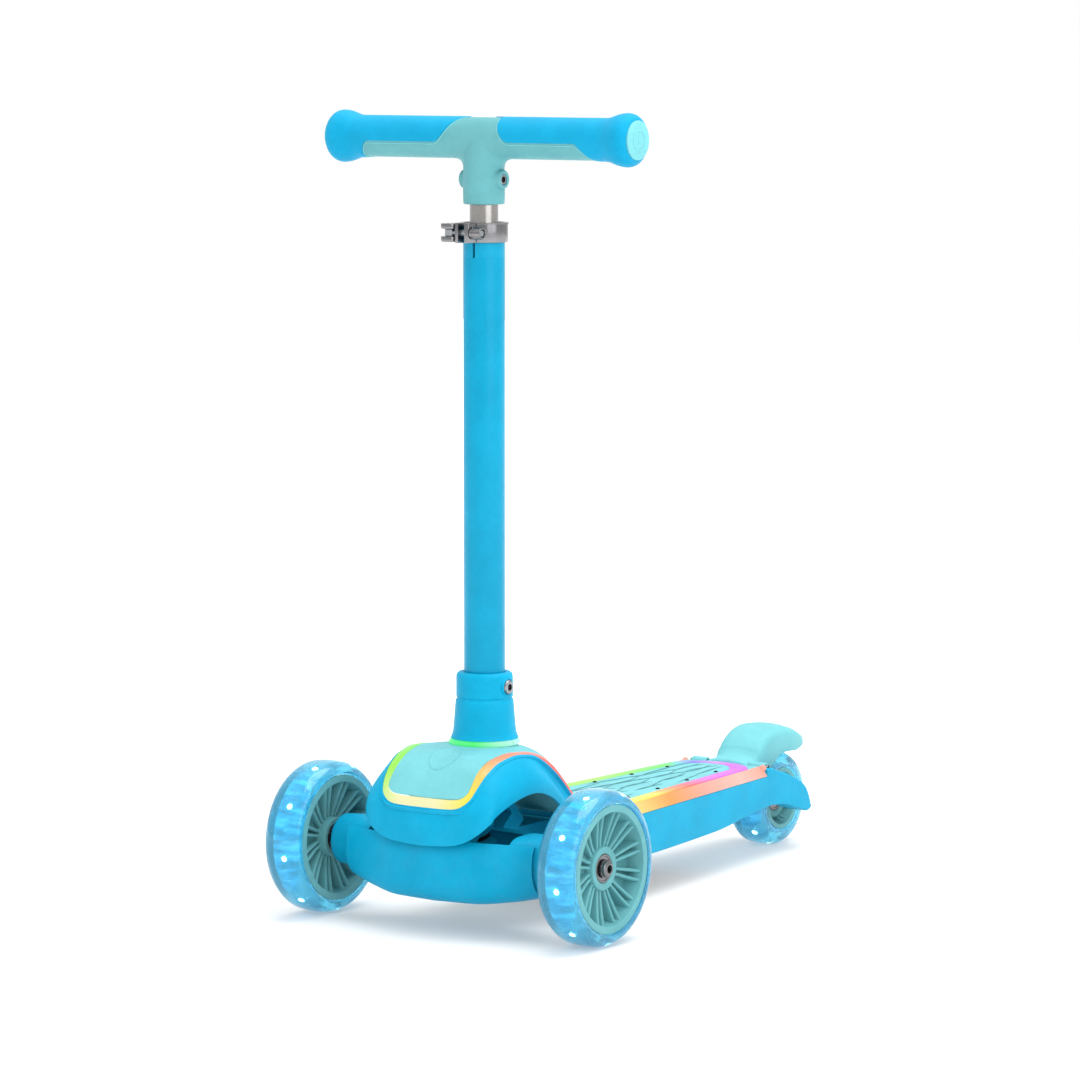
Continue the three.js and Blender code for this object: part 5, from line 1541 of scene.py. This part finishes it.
class SCOOTER_OT_handlebar(bpy.types.Operator):
    """Builds the handlebar's core, grips, end caps and neck bolt"""

    bl_idname = "scooter.handlebar"
    bl_label = "Handlebar"

    def execute(self, context):
        m = materials()
        core, bolt_z = handlebar_shells()
        piece("handlebar_body", core, "handlebar", m["mint bar"], ["handlebar_body"])
        at = np.array([0, STEM_Y, bolt_z])
        head = [[0, -17.2], [2.6, -17.2], [2.6, 16.2], [4.15, 16.4], [4.15, 17.9], [3.6, 18.3], [2.6, 18.3],
                [2.3, 17.0], [0, 17.0]]
        piece("neck_bolt", [turned(head, 40, at, "x")], "handlebar", m["steel"], ["neck_bolt"])
        piece("neck_bolt_recess", hex_socket(at, 1, 17.1, 2.2), "handlebar", m["socket"])
        grip, wires = grip_shells()
        piece("grip_left", [grip], "handlebar", m["grip"], ["grip_left"])
        piece("grip_right", [half_turned(grip)], "handlebar", m["grip"], ["grip_right"])
        piece("grip_seams", wires + [half_turned(w) for w in wires], "handlebar", m["mint"])
        for side_name, way in (("left", 1), ("right", -1)):
            node = f"end_cap_{side_name}"
            piece(node, end_cap_shells(way), "handlebar", m["mint"], [node])
        return {"FINISHED"}


class SCOOTER_OT_deck(bpy.types.Operator):
    """Builds the deck, footplate, light ring, side strips, cover and button"""

    bl_idname = "scooter.deck"
    bl_label = "Deck"

    def execute(self, context):
        m = materials()
        piece("deck_shell", deck_shells(), "deck", m["blue"], ["deck_shell"])
        piece("deck_tail_plate", tail_plate_shells(), "deck", m["mint"])
        ring, along = deck_ring_shell()
        piece("deck_light_ring", [ring], "deck", m["deck ring"], ["deck_light_ring"],
              attribute=[along])
        piece("footplate", [footplate_shell()], "deck", m["mint"], ["footplate"])
        piece("footplate_grip_lines", grip_line_shells(), "deck", m["mint line"])
        heads, slots = plate_screws()
        piece("footplate_screws", heads, "deck", m["screw"])
        piece("footplate_screw_slots", slots, "deck", m["socket"])
        for side_name, way in (("left", 1), ("right", -1)):
            node = f"side_light_strip_{side_name}"
            shells, values = side_strip_shell(way)
            piece(node, shells, "deck", m["side strip"], [node], attribute=values)
        cover, screws = cover_shells()
        piece("deck_cover", cover, "deck", m["dark"], ["deck_cover"])
        piece("deck_cover_screws", screws, "deck", m["screw"])
        piece("light_button", [button_shell()], "light_switch", m["white"], ["light_button"])
        return {"FINISHED"}


class SCOOTER_OT_truck(bpy.types.Operator):
    """Builds the front truck, its barrel and the two axle bolts"""

    bl_idname = "scooter.truck"
    bl_label = "Truck"

    def execute(self, context):
        m = materials()
        piece("truck", truck_shells() + barrel_shells(), "truck", m["blue"], ["truck"])
        for side_name in ("left", "right"):
            bolt, recess = axle_bolt(f"front_{side_name}")
            node = f"axle_bolt_{side_name}"
            piece(node, bolt, "truck", m["chrome"], [node])
            piece(f"{node}_recess", recess, "truck", m["socket"])
        return {"FINISHED"}


class SCOOTER_OT_wheels(bpy.types.Operator):
    """Builds the three lit wheels: tyre, lamp carrier, lamps, ribbed hub and bearings"""

    bl_idname = "scooter.wheels"
    bl_label = "Wheels"

    def execute(self, context):
        m = materials()
        for kind in ("front_left", "front_right", "rear"):
            tread, carrier, lamps, hub, bearings = wheel_parts(kind)
            body = f"{kind}_wheel"
            piece(f"{kind}_tyre", tread, body, m["tyre"], [f"{kind}_tyre"])
            piece(f"{kind}_light_core", carrier, body, m["core"], [f"{kind}_light_core"])
            piece(f"{kind}_lamps", lamps, body, m["lamp"])
            piece(f"{kind}_hub", hub, body, m["mint hub"], [f"{kind}_hub"])
            for place in ("outer", "inner"):
                node = f"{kind}_bearing_{place}"
                piece(node, bearings[place], body, m["chrome"], [node])
        return {"FINISHED"}


class SCOOTER_OT_brake(bpy.types.Operator):
    """Builds the rear fender brake, its hinge pin, the rear axle and spacers"""

    bl_idname = "scooter.brake"
    bl_label = "Brake and rear axle"

    def execute(self, context):
        m = materials()
        piece("brake_fender", [fender_shell()], "brake", m["mint"], ["brake_fender"],
              flat_above=50)
        pins, recess, axle, recess_axle, spacers = rear_fittings()
        piece("brake_pin", pins, "deck", m["chrome"], ["brake_pin"])
        piece("brake_pin_recess", recess, "deck", m["socket"])
        piece("rear_axle", axle, "deck", m["steel"], ["rear_axle"])
        piece("rear_axle_recess", recess_axle, "deck", m["socket"])
        for side_name, shell in zip(("left", "right"), spacers):
            node = f"rear_spacer_{side_name}"
            piece(node, [shell], "deck", m["steel"], [node])
        return {"FINISHED"}


class SCOOTER_OT_inside(bpy.types.Operator):
    """Dresses the steering, lighting and brake parts that are kept as they are"""

    bl_idname = "scooter.inside"
    bl_label = "Inner parts"

    def execute(self, context):
        for node, finish in (
            ("steering_bracket", "blue"), ("kingpin", "steel"), ("kingpin_bush", "bush"),
            ("elastomer_upper", "elastomer"), ("elastomer_lower", "elastomer"), ("battery_pack", "white"),
            ("light_board", "board"), ("led_strip", "led"), ("brake_spring", "steel"), ("brake_pad", "steel"),
        ):
            dress(node, finish)
        return {"FINISHED"}


class SCOOTER_OT_stage(bpy.types.Operator):
    """Sets the floor, the soft lights and the camera"""

    bl_idname = "scooter.stage"
    bl_label = "Stage"

    def execute(self, context):
        scene = context.scene
        floor_plane(scene.scooter_sizes.floor_size)
        for name, at, size, watts in LIGHTS:
            soft_light(name, at, size, watts)
        world = scene.world or bpy.data.worlds.new("studio")
        scene.world = world
        world.use_nodes = True
        backdrop = world.node_tree.nodes["Background"]
        set_sockets(backdrop, Color=WHITE, Strength=1.0)
        scene.view_settings.view_transform = "Standard"
        data = bpy.data.cameras.new("camera")
        data.lens = LENS
        data.sensor_width = SENSOR
        data.clip_end = CLIP_END
        camera = bpy.data.objects.new("camera", data)
        scene.collection.objects.link(camera)
        aim(camera, CAMERA_AT, CAMERA_TO)
        scene.camera = camera
        return {"FINISHED"}


CAMERA_AT = (2.0635, -3.1706, 0.6943)
CAMERA_TO = (0.0774, -0.224, 0.3061)
LENS, SENSOR, CLIP_END = 157.5, 36, 60
# Name, place, size and watts of each soft light, and the point they all face.
LIGHTS = (
    ("key_light", (-1.6, -1.9, 2.6), 2.0, 7),
    ("fill_light", (2.6, -1.0, 1.5), 2.4, 38),
    ("top_light", (0.3, 0.2, 2.8), 2.2, 70),
)
LIGHT_TO = (0, -0.2, 0.25)
FLOOR_SHADE = 0.45  # metres from the middle within which the floor stays darkest


def aim(thing, at, to):
    """Places a lamp or the camera and points it."""
    gap = [b - a for a, b in zip(at, to)]
    thing.location = at
    thing.rotation_euler = (
        math.atan2(math.hypot(gap[0], gap[1]), -gap[2]), 0, math.atan2(gap[1], gap[0]) - math.pi / 2,
    )


def soft_light(name, at, size, watts):
    """A square area lamp turned to the scooter."""
    data = bpy.data.lights.new(name, "AREA")
    data.size = size
    data.energy = watts
    lamp = bpy.data.objects.new(name, data)
    bpy.context.scene.collection.objects.link(lamp)
    aim(lamp, at, LIGHT_TO)


def floor_plane(half):
    """A level square floor, whose own light rises with the distance from the scooter."""
    run = np.linspace(-half, half, 9)
    x, y = np.meshgrid(run, run, indexing="ij")
    mesh = bpy.data.meshes.new("floor")
    faces = [face[::-1] for face in quads(9, 9)]
    mesh.from_pydata(np.stack([x, y, 0 * x], -1).reshape(-1, 3).tolist(), [], faces)
    mesh.polygons.foreach_set("use_smooth", np.ones(len(mesh.polygons), bool))
    material, t, shader, where = new_material("pale floor")
    set_sockets(shader, Base_Color=(0.6, 0.6, 0.6, 1), Emission_Color=WHITE)
    t.wire(t.plus(t.times(t.noise(where, 6.0), 0.1), 0.7), shader.inputs["Roughness"])
    away = t.add("ShaderNodeVectorMath", operation="LENGTH")
    t.wire(where, away.inputs[0])
    shine = t.times(t.math("SUBTRACT", away.outputs["Value"], FLOOR_SHADE), 1.1, clamp=True)
    t.wire(t.plus(shine, 0.28), shader.inputs["Emission Strength"])
    mesh.materials.append(material)
    made = bpy.data.objects.new("floor", mesh)
    bpy.context.scene.collection.objects.link(made)
    return made


OPERATORS = (
    SCOOTER_OT_hood, SCOOTER_OT_stem, SCOOTER_OT_clamp, SCOOTER_OT_handlebar, SCOOTER_OT_deck,
    SCOOTER_OT_truck, SCOOTER_OT_wheels, SCOOTER_OT_brake, SCOOTER_OT_inside, SCOOTER_OT_stage,
)


class SCOOTER_PT_panel(bpy.types.Panel):
    """The scooter's colours, sizes and pieces"""

    bl_label = "Kick Scooter"
    bl_idname = "SCOOTER_PT_panel"
    bl_space_type = "VIEW_3D"
    bl_region_type = "UI"
    bl_category = "Scooter"

    def draw(self, context):
        for group in (context.scene.scooter_colours, context.scene.scooter_sizes):
            box = self.layout.box()
            for name in group.bl_rna.properties.keys():
                if name not in ("rna_type", "name"):
                    box.prop(group, name)
        for operator in OPERATORS:
            self.layout.operator(operator.bl_idname)


CLASSES = (ScooterColours, ScooterSizes, *OPERATORS, SCOOTER_PT_panel)


def register():
    """Adds the classes and the scene's two groups of properties."""
    for cls in CLASSES:
        bpy.utils.register_class(cls)
    bpy.types.Scene.scooter_colours = bpy.props.PointerProperty(type=ScooterColours)
    bpy.types.Scene.scooter_sizes = bpy.props.PointerProperty(type=ScooterSizes)


def unregister():
    """Takes the properties and the classes away again."""
    del bpy.types.Scene.scooter_sizes
    del bpy.types.Scene.scooter_colours
    for cls in reversed(CLASSES):
        bpy.utils.unregister_class(cls)


def main():
    """Builds every piece through its operator."""
    register()
    for operator in OPERATORS:
        call = getattr(bpy.ops.scooter, operator.bl_idname.split(".")[1])
        if call() != {"FINISHED"}:
            raise RuntimeError(f"{operator.bl_idname} did not finish")


if __name__ == "__main__":
    main()
